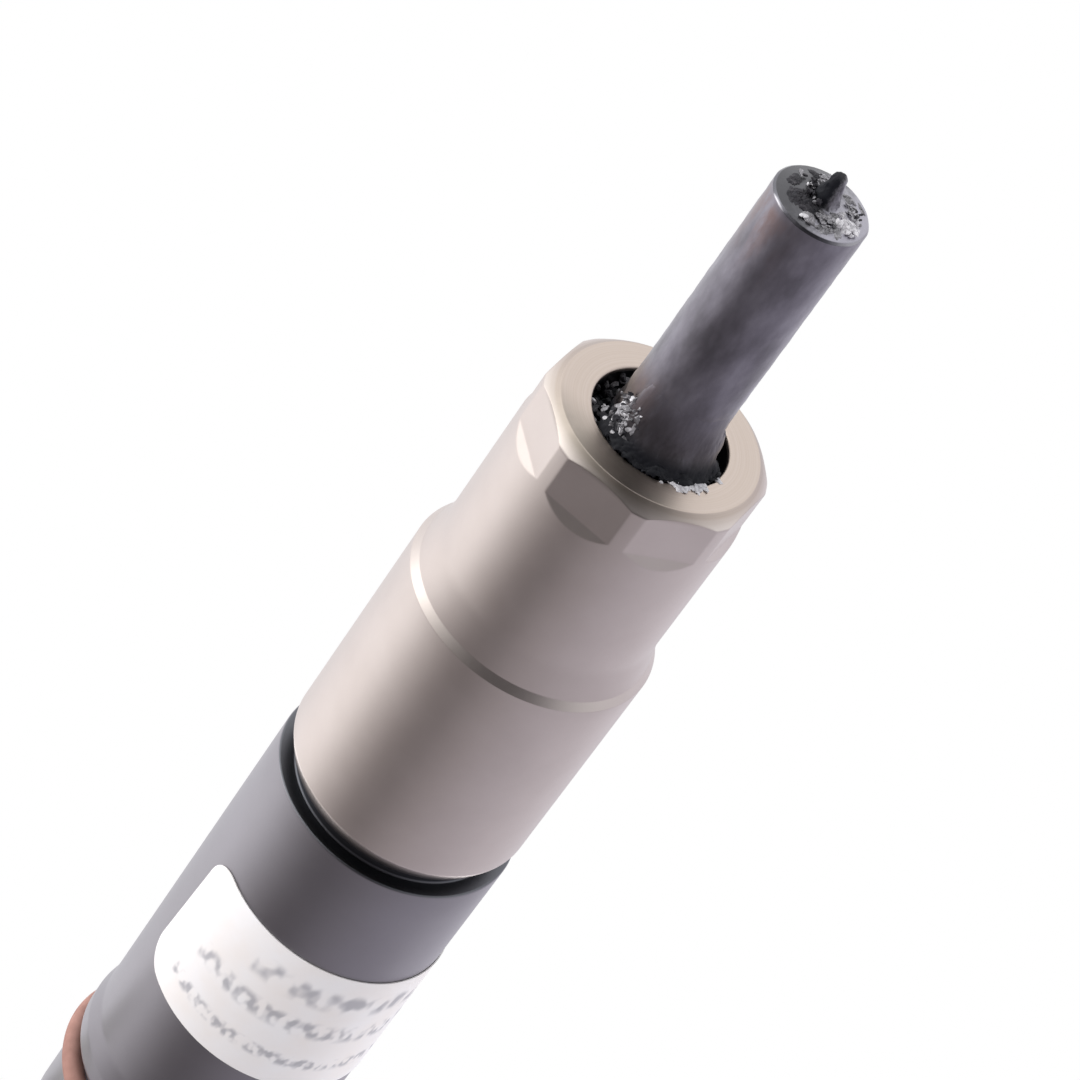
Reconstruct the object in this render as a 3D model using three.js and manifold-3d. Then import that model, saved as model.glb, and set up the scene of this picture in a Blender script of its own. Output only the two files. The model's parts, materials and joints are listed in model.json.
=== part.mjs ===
// A common-rail diesel fuel injector: nozzle, holder, control valve, solenoid head and fuel inlet.
// Millimetres, +Z up. The nozzle points down, the origin is on the axis at the retaining nut's seat face,
// the fuel inlet points to +X and the electrical socket to -X. Every moving piece rests at its lower stop.
import * as THREE from "three";
import { mergeVertices } from "three/addons/utils/BufferGeometryUtils.js";
import Module from "manifold-3d";

const wasm = await Module();
wasm.setup();

// ---- driving dimensions -------------------------------------------------------------------------

const FINE = 32; // facets round the large outer pieces
const ROUND = 16; // facets round the small inner pieces
const SMALL = 8; // facets round pins and drillings
const RUNNING = 0.06; // radial clearance of a sliding fit
const LOOSE = 0.15; // radial clearance of an assembled fit

// nozzle
const SHANK_R = 3.5;
const TIP_Z = -22.0; // rim of the nozzle's end face
const SAC_R = 0.95;
const SAC_Z = -24.7;
const COLLAR_R = 7.15;
const COLLAR_BOTTOM = 5.0;
const NOZZLE_TOP = 16.0;
const NEEDLE_GUIDE_R = 2.0;
const NEEDLE_STEM_R = 1.55;
const NEEDLE_SEAT = { lowR: 0.55, lowZ: -21.7, highR: 2.2, highZ: -19.8 }; // the cone it closes on
const GALLERY_R = 3.3;
const NEEDLE_LIFT = 0.25;

// retaining nut
const SEAT_OUTER_R = 7.5;
const NUT_HOLE_R = 5.15;
const NUT_NOSE_R = 8.5;
const NUT_NOSE_CHAMFER_Z = 0.84;
const FLAT_COUNT = 8;
const FLAT_HALF_WIDTH = 8.05; // half of the distance across two opposite flats
const FLAT_PHASE = 7.2; // degrees from -Y towards +X to the middle of the first flat
const FLAT_END_Z = 4.2;
const FLAT_RUNOUT_Z = 5.0;
const FLARE_START_Z = 16.1;
const FLARE_END_Z = 19.3;
const NUT_R = 9.5;
const NUT_CHAMFER_Z = 38.2;
const NUT_END_Z = 39.7;
const THREAD_R = 8.2;

// holder
const PLATE_TOP = 20.0; // the distance plate lies between the nozzle and the holder
const HOLDER_START_Z = 40.9;
const HOLDER_R = 9.55;
const BAND_R = 9.9;
const BAND_Z = [73.6, 75.4, 76.8, 77.4];
const SEAL_GROOVE = { r: 8.3, low: 77.6, high: 80.6 };
const COLLAR_END_Z = 87.4;
const NECK_R = 8.6;
const SHOULDER_Z = [92.2, 98.6]; // the cone from the neck to the head
const HEAD_R = 12.5;
const LEDGE_Z = 112.0; // the clamp fork presses on the ledges
const CLAMP_HALF_WIDTH = 9.6;
const HEAD_END_Z = 122.0;
const CAP_THREAD_R = 11.9;
const HOLDER_TOP = 131.3;
const SPRING_ROOM_R = 3.7;
const SPRING_ROOM_TOP = 42.0;
const PISTON_R = 2.15;
const VALVE_BORE_R = 7.0;
const FEED_R = 0.9;
const FEED_X = 5.6;

// label
const LABEL = { low: 51.4, high: 64.9, left: 54.5, length: 28, thickness: 0.1, tilt: 4.3 };

// control valve and armature
const VALVE_TOP = 119.0;
const BALL_R = 0.75;
const BALL_Z = VALVE_TOP + 0.18;
const STEM_R = 1.2;
const STEM_LOW = BALL_Z + BALL_R;
const GUIDE_LOW = 123.4;
const GUIDE_HIGH = 127.6;
const PLATE = { r: 6.5, low: 129.5, high: 131.1 };

// solenoid head
const CORE_R = 8.2;
const CORE_TOP = 143.0;
const HOUSING_R = 10.6;
const HOUSING_TOP = 145.0;
const FLANGE_R = 11.6;
const FLANGE_LOW = 131.9;
const FLANGE_HIGH = 134.2;
const HEX_HALF_WIDTH = 14.0;
const CAP_NUT_LOW = 122.6;
const CAP_NUT_HEX_TOP = 135.2;
const CAP_NUT_TOP = 138.0;

// plastic cap with the electrical socket
const CAP_TOP = 157.0;
const SOCKET = { z: 151.0, halfWidth: 9.0, halfHeight: 6.0, mouth: -30.0, back: -17.5, wall: 1.2 };
const TERMINAL = { y: 2.6, width: 2.8, thickness: 0.8, end: -23.8, start: -11.5 };
const SPIGOT_R = 3.2;
const SPIGOT_TOP = 168.0;

// fuel inlet
const INLET_Z = 106.5;
const BOSS_R = 9.0;
const BOSS_X = 19.5;
const UNION_THREAD_R = 5.4;
const UNION_START_X = 11.5;
const UNION_HEX_HALF = 9.0;
const UNION_HEX_END_X = 26.0;
const STUD_R = 7.0;
const STUD_END_X = 39.0;

// ---- helpers ------------------------------------------------------------------------------------

// A closed three.js geometry as a solid.
function solid(geometry) {
  const bare = geometry.clone();
  bare.deleteAttribute("normal");
  bare.deleteAttribute("uv");
  const merged = mergeVertices(bare, 1e-4);
  return new wasm.Manifold(
    new wasm.Mesh({
      numProp: 3,
      vertProperties: new Float32Array(merged.attributes.position.array),
      triVerts: new Uint32Array(merged.index.array),
    }),
  );
}

// A solid back as a three.js geometry.
function geometryOf(body) {
  const mesh = body.getMesh();
  const positions = new Float32Array(mesh.numVert * 3);
  for (let i = 0; i < mesh.numVert; i++) {
    positions.set(mesh.vertProperties.subarray(i * mesh.numProp, i * mesh.numProp + 3), i * 3);
  }
  const geometry = new THREE.BufferGeometry();
  geometry.setAttribute("position", new THREE.BufferAttribute(positions, 3));
  geometry.setIndex(new THREE.BufferAttribute(new Uint32Array(mesh.triVerts), 1));
  geometry.computeVertexNormals();
  return geometry;
}

// A profile of [radius, z] points turned about Z. It runs from the axis back to the axis, or closes.
function turned(profile, segments = FINE) {
  const points = profile.map(([r, z]) => new THREE.Vector2(r, z));
  return solid(new THREE.LatheGeometry(points, segments).rotateX(Math.PI / 2));
}

// A turned ring: the profile closes on its first point.
function ring(profile, segments = FINE) {
  return turned([...profile, profile[0]], segments);
}

// A plain tube between two heights.
function tube(inner, outer, low, high, segments = ROUND) {
  return ring(
    [
      [inner, low],
      [outer, low],
      [outer, high],
      [inner, high],
    ],
    segments,
  );
}

// A plain round bar between two heights.
function bar(radius, low, high, segments = ROUND) {
  return turned(
    [
      [0, low],
      [radius, low],
      [radius, high],
      [0, high],
    ],
    segments,
  );
}

// A straight round drilling from one point to another.
function drilling(from, to, radius, segments = SMALL) {
  const start = new THREE.Vector3(...from);
  const along = new THREE.Vector3(...to).sub(start);
  const geometry = new THREE.CylinderGeometry(radius, radius, along.length(), segments);
  geometry.applyQuaternion(
    new THREE.Quaternion().setFromUnitVectors(new THREE.Vector3(0, 1, 0), along.clone().normalize()),
  );
  const middle = start.addScaledVector(along, 0.5);
  return solid(geometry.translate(middle.x, middle.y, middle.z));
}

// A box between two corners.
function block(low, high) {
  const size = high.map((value, i) => value - low[i]);
  const middle = high.map((value, i) => (value + low[i]) / 2);
  return solid(new THREE.BoxGeometry(...size).translate(...middle));
}

// A hexagonal prism standing on Z, with two corners on the Y axis.
function hexPrism(halfWidth, low, high) {
  const circumradius = halfWidth / Math.cos(Math.PI / 6);
  const geometry = new THREE.CylinderGeometry(circumradius, circumradius, high - low, 6);
  geometry.rotateX(Math.PI / 2);
  return solid(geometry.translate(0, 0, (low + high) / 2));
}

// A rounded rectangle in Y and Z, extruded along X from low to high.
function roundedBlock(low, high, halfWidth, halfHeight, corner, z) {
  const shape = new THREE.Shape();
  shape.moveTo(-halfWidth + corner, -halfHeight);
  shape.lineTo(halfWidth - corner, -halfHeight);
  shape.absarc(halfWidth - corner, -halfHeight + corner, corner, -Math.PI / 2, 0);
  shape.lineTo(halfWidth, halfHeight - corner);
  shape.absarc(halfWidth - corner, halfHeight - corner, corner, 0, Math.PI / 2);
  shape.lineTo(-halfWidth + corner, halfHeight);
  shape.absarc(-halfWidth + corner, halfHeight - corner, corner, Math.PI / 2, Math.PI);
  shape.lineTo(-halfWidth, -halfHeight + corner);
  shape.absarc(-halfWidth + corner, -halfHeight + corner, corner, Math.PI, Math.PI * 1.5);
  const geometry = new THREE.ExtrudeGeometry(shape, {
    depth: high - low,
    bevelEnabled: false,
    curveSegments: 3,
  });
  geometry.rotateX(Math.PI / 2).rotateZ(Math.PI / 2);
  return solid(geometry.translate(low, 0, z));
}

// A solid modelled on Z, laid along +X at a height.
function laidAlongX(body, z) {
  return solid(geometryOf(body).rotateY(Math.PI / 2).translate(0, 0, z));
}

// An O-ring round Z.
function sealRing(radius, thickness, z, segments = FINE) {
  const points = [];
  const sides = 6;
  for (let i = 0; i < sides; i++) {
    const angle = (i / sides) * 2 * Math.PI;
    points.push([
      radius + (thickness / 2) * Math.cos(angle),
      z + (thickness / 2) * Math.sin(angle),
    ]);
  }
  return ring(points, segments);
}

// The centre line of a coil spring whose last turn at each end lies nearly flat.
class SpringPath extends THREE.Curve {
  constructor(radius, low, high, turns, wire) {
    super();
    Object.assign(this, { radius, low, high, turns, wire });
  }

  getPoint(t, target = new THREE.Vector3()) {
    const angle = t * this.turns * 2 * Math.PI;
    const end = 0.9 / this.turns;
    const flat = this.wire * 1.05;
    const rise = this.high - this.low - 2 * flat;
    let z = this.low + flat + (rise * (t - end)) / (1 - 2 * end);
    if (t < end) z = this.low + (flat * t) / end;
    if (t > 1 - end) z = this.high - (flat * (1 - t)) / end;
    return target.set(this.radius * Math.sin(angle), -this.radius * Math.cos(angle), z);
  }
}

// A coil spring between two heights.
function coilSpring(meanRadius, wire, low, high, turns) {
  const section = new THREE.Shape();
  section.absarc(0, 0, wire / 2, 0, 2 * Math.PI);
  const path = new SpringPath(meanRadius, low + wire / 2, high - wire / 2, turns, wire);
  const geometry = new THREE.ExtrudeGeometry(section, {
    steps: turns * 10,
    curveSegments: 3,
    extrudePath: path,
  });
  return solid(geometry);
}

const part = new THREE.Group();

// Adds one piece to the part.
function add(name, body, color, roughness, metalness) {
  const material = new THREE.MeshStandardMaterial({ color, roughness, metalness });
  const mesh = new THREE.Mesh(geometryOf(body), material);
  mesh.name = name;
  part.add(mesh);
}

// ---- nozzle -------------------------------------------------------------------------------------

const DOWEL_R = 0.9;
const DOWEL_Y = 5.0;
const DOWEL_LOW = 13.5;
const DOWEL_HIGH = 22.5;
const DOWEL_SIDES = { left: -1, right: 1 };

// The two holes that locate a piece on the dowel pins.
function dowelHoles(low, high) {
  return Object.values(DOWEL_SIDES)
    .map((side) => bar(DOWEL_R + 0.04, low, high, SMALL).translate([0, side * DOWEL_Y, 0]))
    .reduce((all, hole) => all.add(hole));
}

function nozzleBody() {
  const body = turned([
    [0, SAC_Z],
    [0.45, SAC_Z + 0.1],
    [0.75, SAC_Z + 0.4],
    [SAC_R - 0.05, SAC_Z + 1.1],
    [SAC_R + 0.1, TIP_Z - 0.35],
    [SAC_R + 0.55, TIP_Z - 0.22],
    [SHANK_R - 0.5, TIP_Z - 0.05],
    [SHANK_R - 0.15, TIP_Z + 0.1],
    [SHANK_R, TIP_Z + 0.45],
    [SHANK_R, COLLAR_BOTTOM],
    [COLLAR_R - 0.4, COLLAR_BOTTOM],
    [COLLAR_R, COLLAR_BOTTOM + 0.4],
    [COLLAR_R, NOZZLE_TOP - 0.3],
    [COLLAR_R - 0.3, NOZZLE_TOP],
    [NEEDLE_GUIDE_R + RUNNING, NOZZLE_TOP],
    [NEEDLE_GUIDE_R + RUNNING, 9.0],
    [GALLERY_R, 8.4],
    [GALLERY_R, 6.8],
    [NEEDLE_SEAT.highR, 6.0],
    [NEEDLE_SEAT.highR, NEEDLE_SEAT.highZ],
    [NEEDLE_SEAT.lowR, NEEDLE_SEAT.lowZ],
    [0.5, SAC_Z + 1.0],
    [0, SAC_Z + 0.8],
  ]);
  const feed = drilling([5.2, 0, NOZZLE_TOP + 0.3], [2.9, 0, 7.6], FEED_R);
  return body.subtract(feed).subtract(dowelHoles(DOWEL_LOW - 0.1, NOZZLE_TOP + 1));
}

function nozzleNeedle() {
  const { lowR, lowZ, highR, highZ } = NEEDLE_SEAT;
  const slope = (highZ - lowZ) / (highR - lowR);
  const tipR = lowR + 0.03;
  const shoulderZ = lowZ + slope * (NEEDLE_STEM_R + RUNNING - lowR);
  return turned(
    [
      [0, lowZ + 0.08],
      [tipR, shoulderZ - slope * (NEEDLE_STEM_R - tipR)],
      [NEEDLE_STEM_R, shoulderZ],
      [NEEDLE_STEM_R, 7.6],
      [NEEDLE_GUIDE_R, 9.4],
      [NEEDLE_GUIDE_R, NOZZLE_TOP - NEEDLE_LIFT - 0.15],
      [1.3, NOZZLE_TOP - NEEDLE_LIFT - 0.15],
      [1.3, PLATE_TOP + 1.2],
      [0, PLATE_TOP + 1.2],
    ],
    ROUND,
  );
}

// The bevelled cutter of one wrench flat, a wedge outside the flat with a ramped upper end.
function flatCutter(angle) {
  const outline = new THREE.Shape();
  outline.moveTo(FLAT_HALF_WIDTH, -1);
  outline.lineTo(NUT_R + 1, -1);
  outline.lineTo(NUT_R + 1, FLAT_RUNOUT_Z + 1.2);
  outline.lineTo(NUT_NOSE_R + 0.02, FLAT_RUNOUT_Z);
  outline.lineTo(FLAT_HALF_WIDTH, FLAT_END_Z);
  outline.closePath();
  const width = 8;
  const geometry = new THREE.ExtrudeGeometry(outline, { depth: width, bevelEnabled: false });
  geometry.translate(0, 0, -width / 2).rotateX(Math.PI / 2);
  geometry.rotateZ(THREE.MathUtils.degToRad(angle - 90));
  return solid(geometry);
}

function retainingNut() {
  let nut = ring([
    [NUT_HOLE_R, 0.2],
    [NUT_HOLE_R + 0.2, 0],
    [SEAT_OUTER_R, 0],
    [NUT_NOSE_R, NUT_NOSE_CHAMFER_Z],
    [NUT_NOSE_R, FLARE_START_Z],
    [NUT_NOSE_R + 0.15, 17.4],
    [NUT_NOSE_R + 0.5, 18.6],
    [NUT_R, FLARE_END_Z],
    [NUT_R, NUT_CHAMFER_Z],
    [NUT_R - 0.15, 38.5],
    [NUT_R - 0.6, NUT_END_Z],
    [THREAD_R + LOOSE, NUT_END_Z],
    [THREAD_R + LOOSE, 21.4],
    [COLLAR_R + LOOSE, 20.6],
    [COLLAR_R + LOOSE, COLLAR_BOTTOM],
    [NUT_HOLE_R, COLLAR_BOTTOM],
  ]);
  for (let i = 0; i < FLAT_COUNT; i++) {
    nut = nut.subtract(flatCutter(FLAT_PHASE + (360 / FLAT_COUNT) * i));
  }
  return nut;
}

function distancePlate() {
  const plate = tube(1.6, COLLAR_R, NOZZLE_TOP, PLATE_TOP, FINE);
  const feed = drilling([5.2, 0, NOZZLE_TOP - 1], [FEED_X, 0, PLATE_TOP + 1], FEED_R);
  return plate.subtract(feed).subtract(dowelHoles(NOZZLE_TOP - 1, PLATE_TOP + 1));
}

const NEEDLE_SEAT_TOP = PLATE_TOP + 3.2;
const SPRING_SHIM_LOW = SPRING_ROOM_TOP - 1.4;

add("nozzle_body", nozzleBody(), 0x4a474e, 0.5, 0.8);
add("nozzle_needle", nozzleNeedle(), 0xb8bcc2, 0.25, 1.0);
add("nozzle_retaining_nut", retainingNut(), 0xb3a9a6, 0.35, 0.9);
add("distance_plate", distancePlate(), 0x9da0a5, 0.35, 1.0);
for (const [side, sign] of Object.entries(DOWEL_SIDES)) {
  const pin = bar(DOWEL_R, DOWEL_LOW, DOWEL_HIGH, SMALL).translate([0, sign * DOWEL_Y, 0]);
  add(`dowel_pin_${side}`, pin, 0xc4c6ca, 0.25, 1.0);
}
const needleSeat = bar(3.3, PLATE_TOP + 1.2, NEEDLE_SEAT_TOP, ROUND);
add("needle_spring_seat", needleSeat, 0x8f9297, 0.4, 1.0);
const nozzleSpring = coilSpring(2.8, 1.0, NEEDLE_SEAT_TOP + 0.02, SPRING_SHIM_LOW - 0.02, 6);
add("nozzle_spring", nozzleSpring, 0x7d8086, 0.35, 1.0);
const springShim = tube(PISTON_R + 0.3, 3.5, SPRING_SHIM_LOW, SPRING_ROOM_TOP, ROUND);
add("nozzle_spring_shim", springShim, 0xa7aaaf, 0.35, 1.0);

// ---- holder -------------------------------------------------------------------------------------

function injectorBody() {
  let body = ring([
    [SPRING_ROOM_R, PLATE_TOP],
    [COLLAR_R - 0.05, PLATE_TOP],
    [COLLAR_R - 0.05, 21.7],
    [THREAD_R, 22.8],
    [THREAD_R, HOLDER_START_Z],
    [HOLDER_R - 0.35, HOLDER_START_Z],
    [HOLDER_R, HOLDER_START_Z + 0.4],
    [HOLDER_R, BAND_Z[0]],
    [BAND_R, BAND_Z[1]],
    [BAND_R, BAND_Z[2]],
    [BAND_R - 0.3, BAND_Z[3]],
    [SEAL_GROOVE.r, SEAL_GROOVE.low],
    [SEAL_GROOVE.r, SEAL_GROOVE.high],
    [HOLDER_R, SEAL_GROOVE.high],
    [HOLDER_R, COLLAR_END_Z],
    [NECK_R + 0.2, COLLAR_END_Z + 0.8],
    [NECK_R, COLLAR_END_Z + 1.2],
    [NECK_R, SHOULDER_Z[0]],
    [HEAD_R, SHOULDER_Z[1]],
    [HEAD_R, HEAD_END_Z],
    [CAP_THREAD_R, HEAD_END_Z + 0.4],
    [CAP_THREAD_R, HOLDER_TOP - 0.4],
    [CAP_THREAD_R - 0.4, HOLDER_TOP],
    [VALVE_BORE_R, HOLDER_TOP],
    [VALVE_BORE_R, LEDGE_Z],
    [PISTON_R + RUNNING, LEDGE_Z],
    [PISTON_R + RUNNING, SPRING_ROOM_TOP],
    [SPRING_ROOM_R, SPRING_ROOM_TOP],
  ]);
  body = body.add(laidAlongX(bar(BOSS_R, 8.5, BOSS_X, FINE), INLET_Z));
  for (const side of [-1, 1]) {
    const near = Math.min(side * CLAMP_HALF_WIDTH, side * (HEAD_R + 1));
    const far = Math.max(side * CLAMP_HALF_WIDTH, side * (HEAD_R + 1));
    body = body.subtract(block([-HEAD_R - 1, near, LEDGE_Z], [HEAD_R + 1, far, HEAD_END_Z]));
  }
  const inletThread = laidAlongX(bar(UNION_THREAD_R + LOOSE, UNION_START_X - 0.4, BOSS_X + 1), INLET_Z);
  return body
    .subtract(inletThread)
    .subtract(drilling([FEED_X - FEED_R, 0, INLET_Z], [UNION_START_X + 1, 0, INLET_Z], 1.2))
    .subtract(drilling([FEED_X, 0, PLATE_TOP - 1], [FEED_X, 0, INLET_Z], FEED_R))
    .subtract(dowelHoles(PLATE_TOP - 1, DOWEL_HIGH + 0.1));
}

// A thin sheet wrapped round the holder and turned a little on its own middle.
function typeLabel() {
  const height = LABEL.high - LABEL.low;
  const sheet = new THREE.BoxGeometry(LABEL.length, LABEL.thickness, height, 24, 1, 1);
  sheet.rotateY(THREE.MathUtils.degToRad(LABEL.tilt));
  const position = sheet.attributes.position;
  const inner = HOLDER_R + 0.03;
  const middle = THREE.MathUtils.degToRad(LABEL.left) - LABEL.length / 2 / HOLDER_R;
  for (let i = 0; i < position.count; i++) {
    const angle = middle + position.getX(i) / HOLDER_R;
    const radius = inner + LABEL.thickness / 2 - position.getY(i);
    const z = (LABEL.low + LABEL.high) / 2 + position.getZ(i);
    position.setXYZ(i, radius * Math.sin(angle), -radius * Math.cos(angle), z);
  }
  return solid(sheet);
}

function controlPiston() {
  return turned(
    [
      [0, NEEDLE_SEAT_TOP],
      [1.5, NEEDLE_SEAT_TOP],
      [1.5, SPRING_ROOM_TOP + 2],
      [PISTON_R, SPRING_ROOM_TOP + 3],
      [PISTON_R, LEDGE_Z + 2.6],
      [PISTON_R - 0.3, LEDGE_Z + 2.9],
      [0, LEDGE_Z + 2.9],
    ],
    ROUND,
  );
}

add("injector_body", injectorBody(), 0x2c2b30, 0.45, 0.6);
add("type_label", typeLabel(), 0xf1efee, 0.6, 0.0);
const sealMiddle = SEAL_GROOVE.high - 1.1; // pushed against the far side of its groove
add("body_seal_ring", sealRing(9.35, 1.9, sealMiddle), 0x7b4a38, 0.6, 0.0);
add("control_piston", controlPiston(), 0xb9bdc3, 0.25, 1.0);

// ---- control valve and armature -----------------------------------------------------------------

function controlValveBody() {
  return ring(
    [
      [PISTON_R + RUNNING, LEDGE_Z],
      [VALVE_BORE_R - LOOSE, LEDGE_Z],
      [VALVE_BORE_R - LOOSE, VALVE_TOP],
      [0.9, VALVE_TOP],
      [0.35, VALVE_TOP - 0.55],
      [0.35, LEDGE_Z + 3.9],
      [PISTON_R + RUNNING, LEDGE_Z + 3.5],
    ],
    ROUND,
  );
}

function valveLockRing() {
  const slotDepth = 1.5;
  const slot = block([-8, -0.9, GUIDE_LOW - slotDepth], [8, 0.9, GUIDE_LOW + 1]);
  return tube(3.4, VALVE_BORE_R - LOOSE, VALVE_TOP, GUIDE_LOW).subtract(slot);
}

function armatureGuide() {
  let guide = tube(STEM_R + RUNNING, VALVE_BORE_R - LOOSE, GUIDE_LOW, GUIDE_HIGH);
  for (let i = 0; i < 3; i++) {
    const angle = (i / 3) * 2 * Math.PI;
    const hole = bar(0.9, GUIDE_LOW - 1, GUIDE_HIGH + 1, SMALL);
    guide = guide.subtract(hole.translate([4 * Math.cos(angle), 4 * Math.sin(angle), 0]));
  }
  return guide;
}

function armature() {
  let body = turned([
    [0, STEM_LOW],
    [0.9, STEM_LOW],
    [STEM_R, STEM_LOW + 0.3],
    [STEM_R, PLATE.low],
    [PLATE.r, PLATE.low],
    [PLATE.r, PLATE.high],
    [1.0, PLATE.high],
    [1.0, PLATE.high + 1.6],
    [0, PLATE.high + 1.6],
  ]);
  for (let i = 0; i < 4; i++) {
    const slot = block([2.6, -0.5, PLATE.low - 1], [PLATE.r + 1, 0.5, PLATE.high + 1]);
    body = body.subtract(slot.rotate([0, 0, 45 + 90 * i]));
  }
  return body;
}

const CORE_BORE_R = 2.0;
const SPRING_PLUG_LOW = 139.6;

add("control_valve_body", controlValveBody(), 0xa6a9ae, 0.35, 1.0);
const ball = new THREE.SphereGeometry(BALL_R, 12, 8).rotateX(Math.PI / 2).translate(0, 0, BALL_Z);
add("valve_ball", solid(ball), 0x55585e, 0.2, 1.0);
add("valve_lock_ring", valveLockRing(), 0x8d9096, 0.4, 1.0);
add("armature_guide", armatureGuide(), 0x9a9da3, 0.35, 1.0);
add("armature", armature(), 0x8a8d93, 0.4, 1.0);
const armatureSpring = coilSpring(1.5, 0.45, PLATE.high + 0.02, SPRING_PLUG_LOW - 0.02, 7);
add("armature_spring", armatureSpring, 0x83868c, 0.35, 1.0);
add("armature_spring_plug", tube(0.9, CORE_BORE_R - 0.05, SPRING_PLUG_LOW, CORE_TOP), 0x9fa2a7, 0.35, 1.0);

// ---- solenoid head ------------------------------------------------------------------------------

const COIL_SLOT = { inner: 4.6, outer: 6.9, top: 139.5 };
const BOBBIN = { low: HOLDER_TOP + 0.3, high: COIL_SLOT.top - 0.2, flange: 0.7, core: 5.3 };

function solenoidCore() {
  return ring(
    [
      [CORE_BORE_R, HOLDER_TOP],
      [COIL_SLOT.inner, HOLDER_TOP],
      [COIL_SLOT.inner, COIL_SLOT.top],
      [COIL_SLOT.outer, COIL_SLOT.top],
      [COIL_SLOT.outer, HOLDER_TOP],
      [CORE_R, HOLDER_TOP],
      [CORE_R, CORE_TOP],
      [CORE_BORE_R, CORE_TOP],
    ],
    ROUND,
  );
}

function coilBobbin() {
  const inner = COIL_SLOT.inner + 0.15;
  const outer = COIL_SLOT.outer - 0.1;
  return ring(
    [
      [inner, BOBBIN.low],
      [outer, BOBBIN.low],
      [outer, BOBBIN.low + BOBBIN.flange],
      [BOBBIN.core, BOBBIN.low + BOBBIN.flange],
      [BOBBIN.core, BOBBIN.high - BOBBIN.flange],
      [outer, BOBBIN.high - BOBBIN.flange],
      [outer, BOBBIN.high],
      [inner, BOBBIN.high],
    ],
    ROUND,
  );
}

function solenoidHousing() {
  return ring([
    [CORE_R + 1.15, FLANGE_LOW],
    [FLANGE_R, FLANGE_LOW],
    [FLANGE_R, FLANGE_HIGH],
    [HOUSING_R, FLANGE_HIGH],
    [HOUSING_R, HOUSING_TOP],
    [CORE_R + LOOSE, HOUSING_TOP],
    [CORE_R + LOOSE, FLANGE_LOW + 0.9],
    [CORE_R + 1.15, FLANGE_LOW + 0.9],
  ]);
}

function solenoidCapNut() {
  const hex = hexPrism(HEX_HALF_WIDTH, CAP_NUT_LOW, CAP_NUT_TOP);
  const corner = HEX_HALF_WIDTH / Math.cos(Math.PI / 6);
  const outside = ring([
    [HOUSING_R + 0.2, CAP_NUT_TOP],
    [HOUSING_R + 0.2, FLANGE_HIGH],
    [CAP_THREAD_R + LOOSE, FLANGE_HIGH],
    [CAP_THREAD_R + LOOSE, CAP_NUT_LOW],
    [HEX_HALF_WIDTH - 0.6, CAP_NUT_LOW],
    [corner + 0.1, CAP_NUT_LOW + 1.3],
    [corner + 0.1, CAP_NUT_HEX_TOP - 1.0],
    [HEX_HALF_WIDTH - 0.8, CAP_NUT_HEX_TOP],
    [HEX_HALF_WIDTH - 0.8, CAP_NUT_TOP - 0.5],
    [HEX_HALF_WIDTH - 1.3, CAP_NUT_TOP],
  ]);
  return outside.intersect(hex);
}

add("solenoid_core", solenoidCore(), 0x77797e, 0.5, 0.9);
add("coil_bobbin", coilBobbin(), 0xd8cfae, 0.6, 0.0);
const coil = tube(
  BOBBIN.core + 0.1,
  COIL_SLOT.outer - 0.25,
  BOBBIN.low + BOBBIN.flange + 0.1,
  BOBBIN.high - BOBBIN.flange - 0.1,
);
add("coil_winding", coil, 0xb0673a, 0.4, 0.9);
const liftShim = tube(CORE_R + 1.2, FLANGE_R - 0.2, HOLDER_TOP, FLANGE_LOW);
add("armature_lift_shim", liftShim, 0xb5b8bc, 0.3, 1.0);
add("solenoid_seal_ring", sealRing(CORE_R + 0.58, 0.9, FLANGE_LOW + 0.1, ROUND), 0x1d1d1f, 0.7, 0.0);
add("solenoid_housing", solenoidHousing(), 0x8e9095, 0.4, 0.9);
add("solenoid_cap_nut", solenoidCapNut(), 0x9a9890, 0.4, 0.9);

// ---- plastic cap, terminals and leak-off spigot ---------------------------------------------------

const SPIGOT_SEAT_R = 2.4;
const SPIGOT_LOW = 149.0;

function connectorCap() {
  const cap = turned([
    [0, CORE_TOP],
    [CORE_R - 0.1, CORE_TOP],
    [CORE_R - 0.1, HOUSING_TOP],
    [HOUSING_R, HOUSING_TOP],
    [HOUSING_R, CAP_TOP - 1.2],
    [HOUSING_R - 1.2, CAP_TOP],
    [0, CAP_TOP],
  ]);
  const { z, halfWidth, halfHeight, mouth, back, wall } = SOCKET;
  const shell = roundedBlock(mouth, -5, halfWidth, halfHeight - 0.05, 2.2, z);
  const cavity = roundedBlock(mouth - 1, back, halfWidth - wall, halfHeight - wall, 1.4, z);
  const latch = block([mouth + 2, -2.2, z + halfHeight - 0.3], [mouth + 6, 2.2, z + halfHeight + 1.6]);
  const ramp = block([-3, -3, -3], [3, 3, 0]).rotate([0, -24, 0]);
  const latchCut = ramp.translate([mouth + 2, 0, z + halfHeight + 3.6]);
  let body = cap.add(shell).add(latch.subtract(latchCut)).subtract(cavity);
  for (const side of [-1, 1]) {
    body = body.subtract(terminal(side, 0.05));
    const rib = block([mouth + 3, -0.8, z - 3.5], [-HOUSING_R + 1, 0.8, z + 3.5]);
    body = body.add(rib.translate([0, side * (halfWidth + 0.4), 0]));
  }
  return body
    .subtract(bar(SPIGOT_SEAT_R + 0.05, SPIGOT_LOW - 0.05, CAP_TOP + 1))
    .subtract(bar(1.2, CORE_TOP - 1, SPIGOT_LOW + 1));
}

// One flat blade through the socket's back wall, larger all round by grow.
function terminal(side, grow) {
  const { y, width, thickness, end, start } = TERMINAL;
  return block(
    [end - grow, side * y - width / 2 - grow, SOCKET.z - thickness / 2 - grow],
    [start + grow, side * y + width / 2 + grow, SOCKET.z + thickness / 2 + grow],
  );
}

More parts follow.
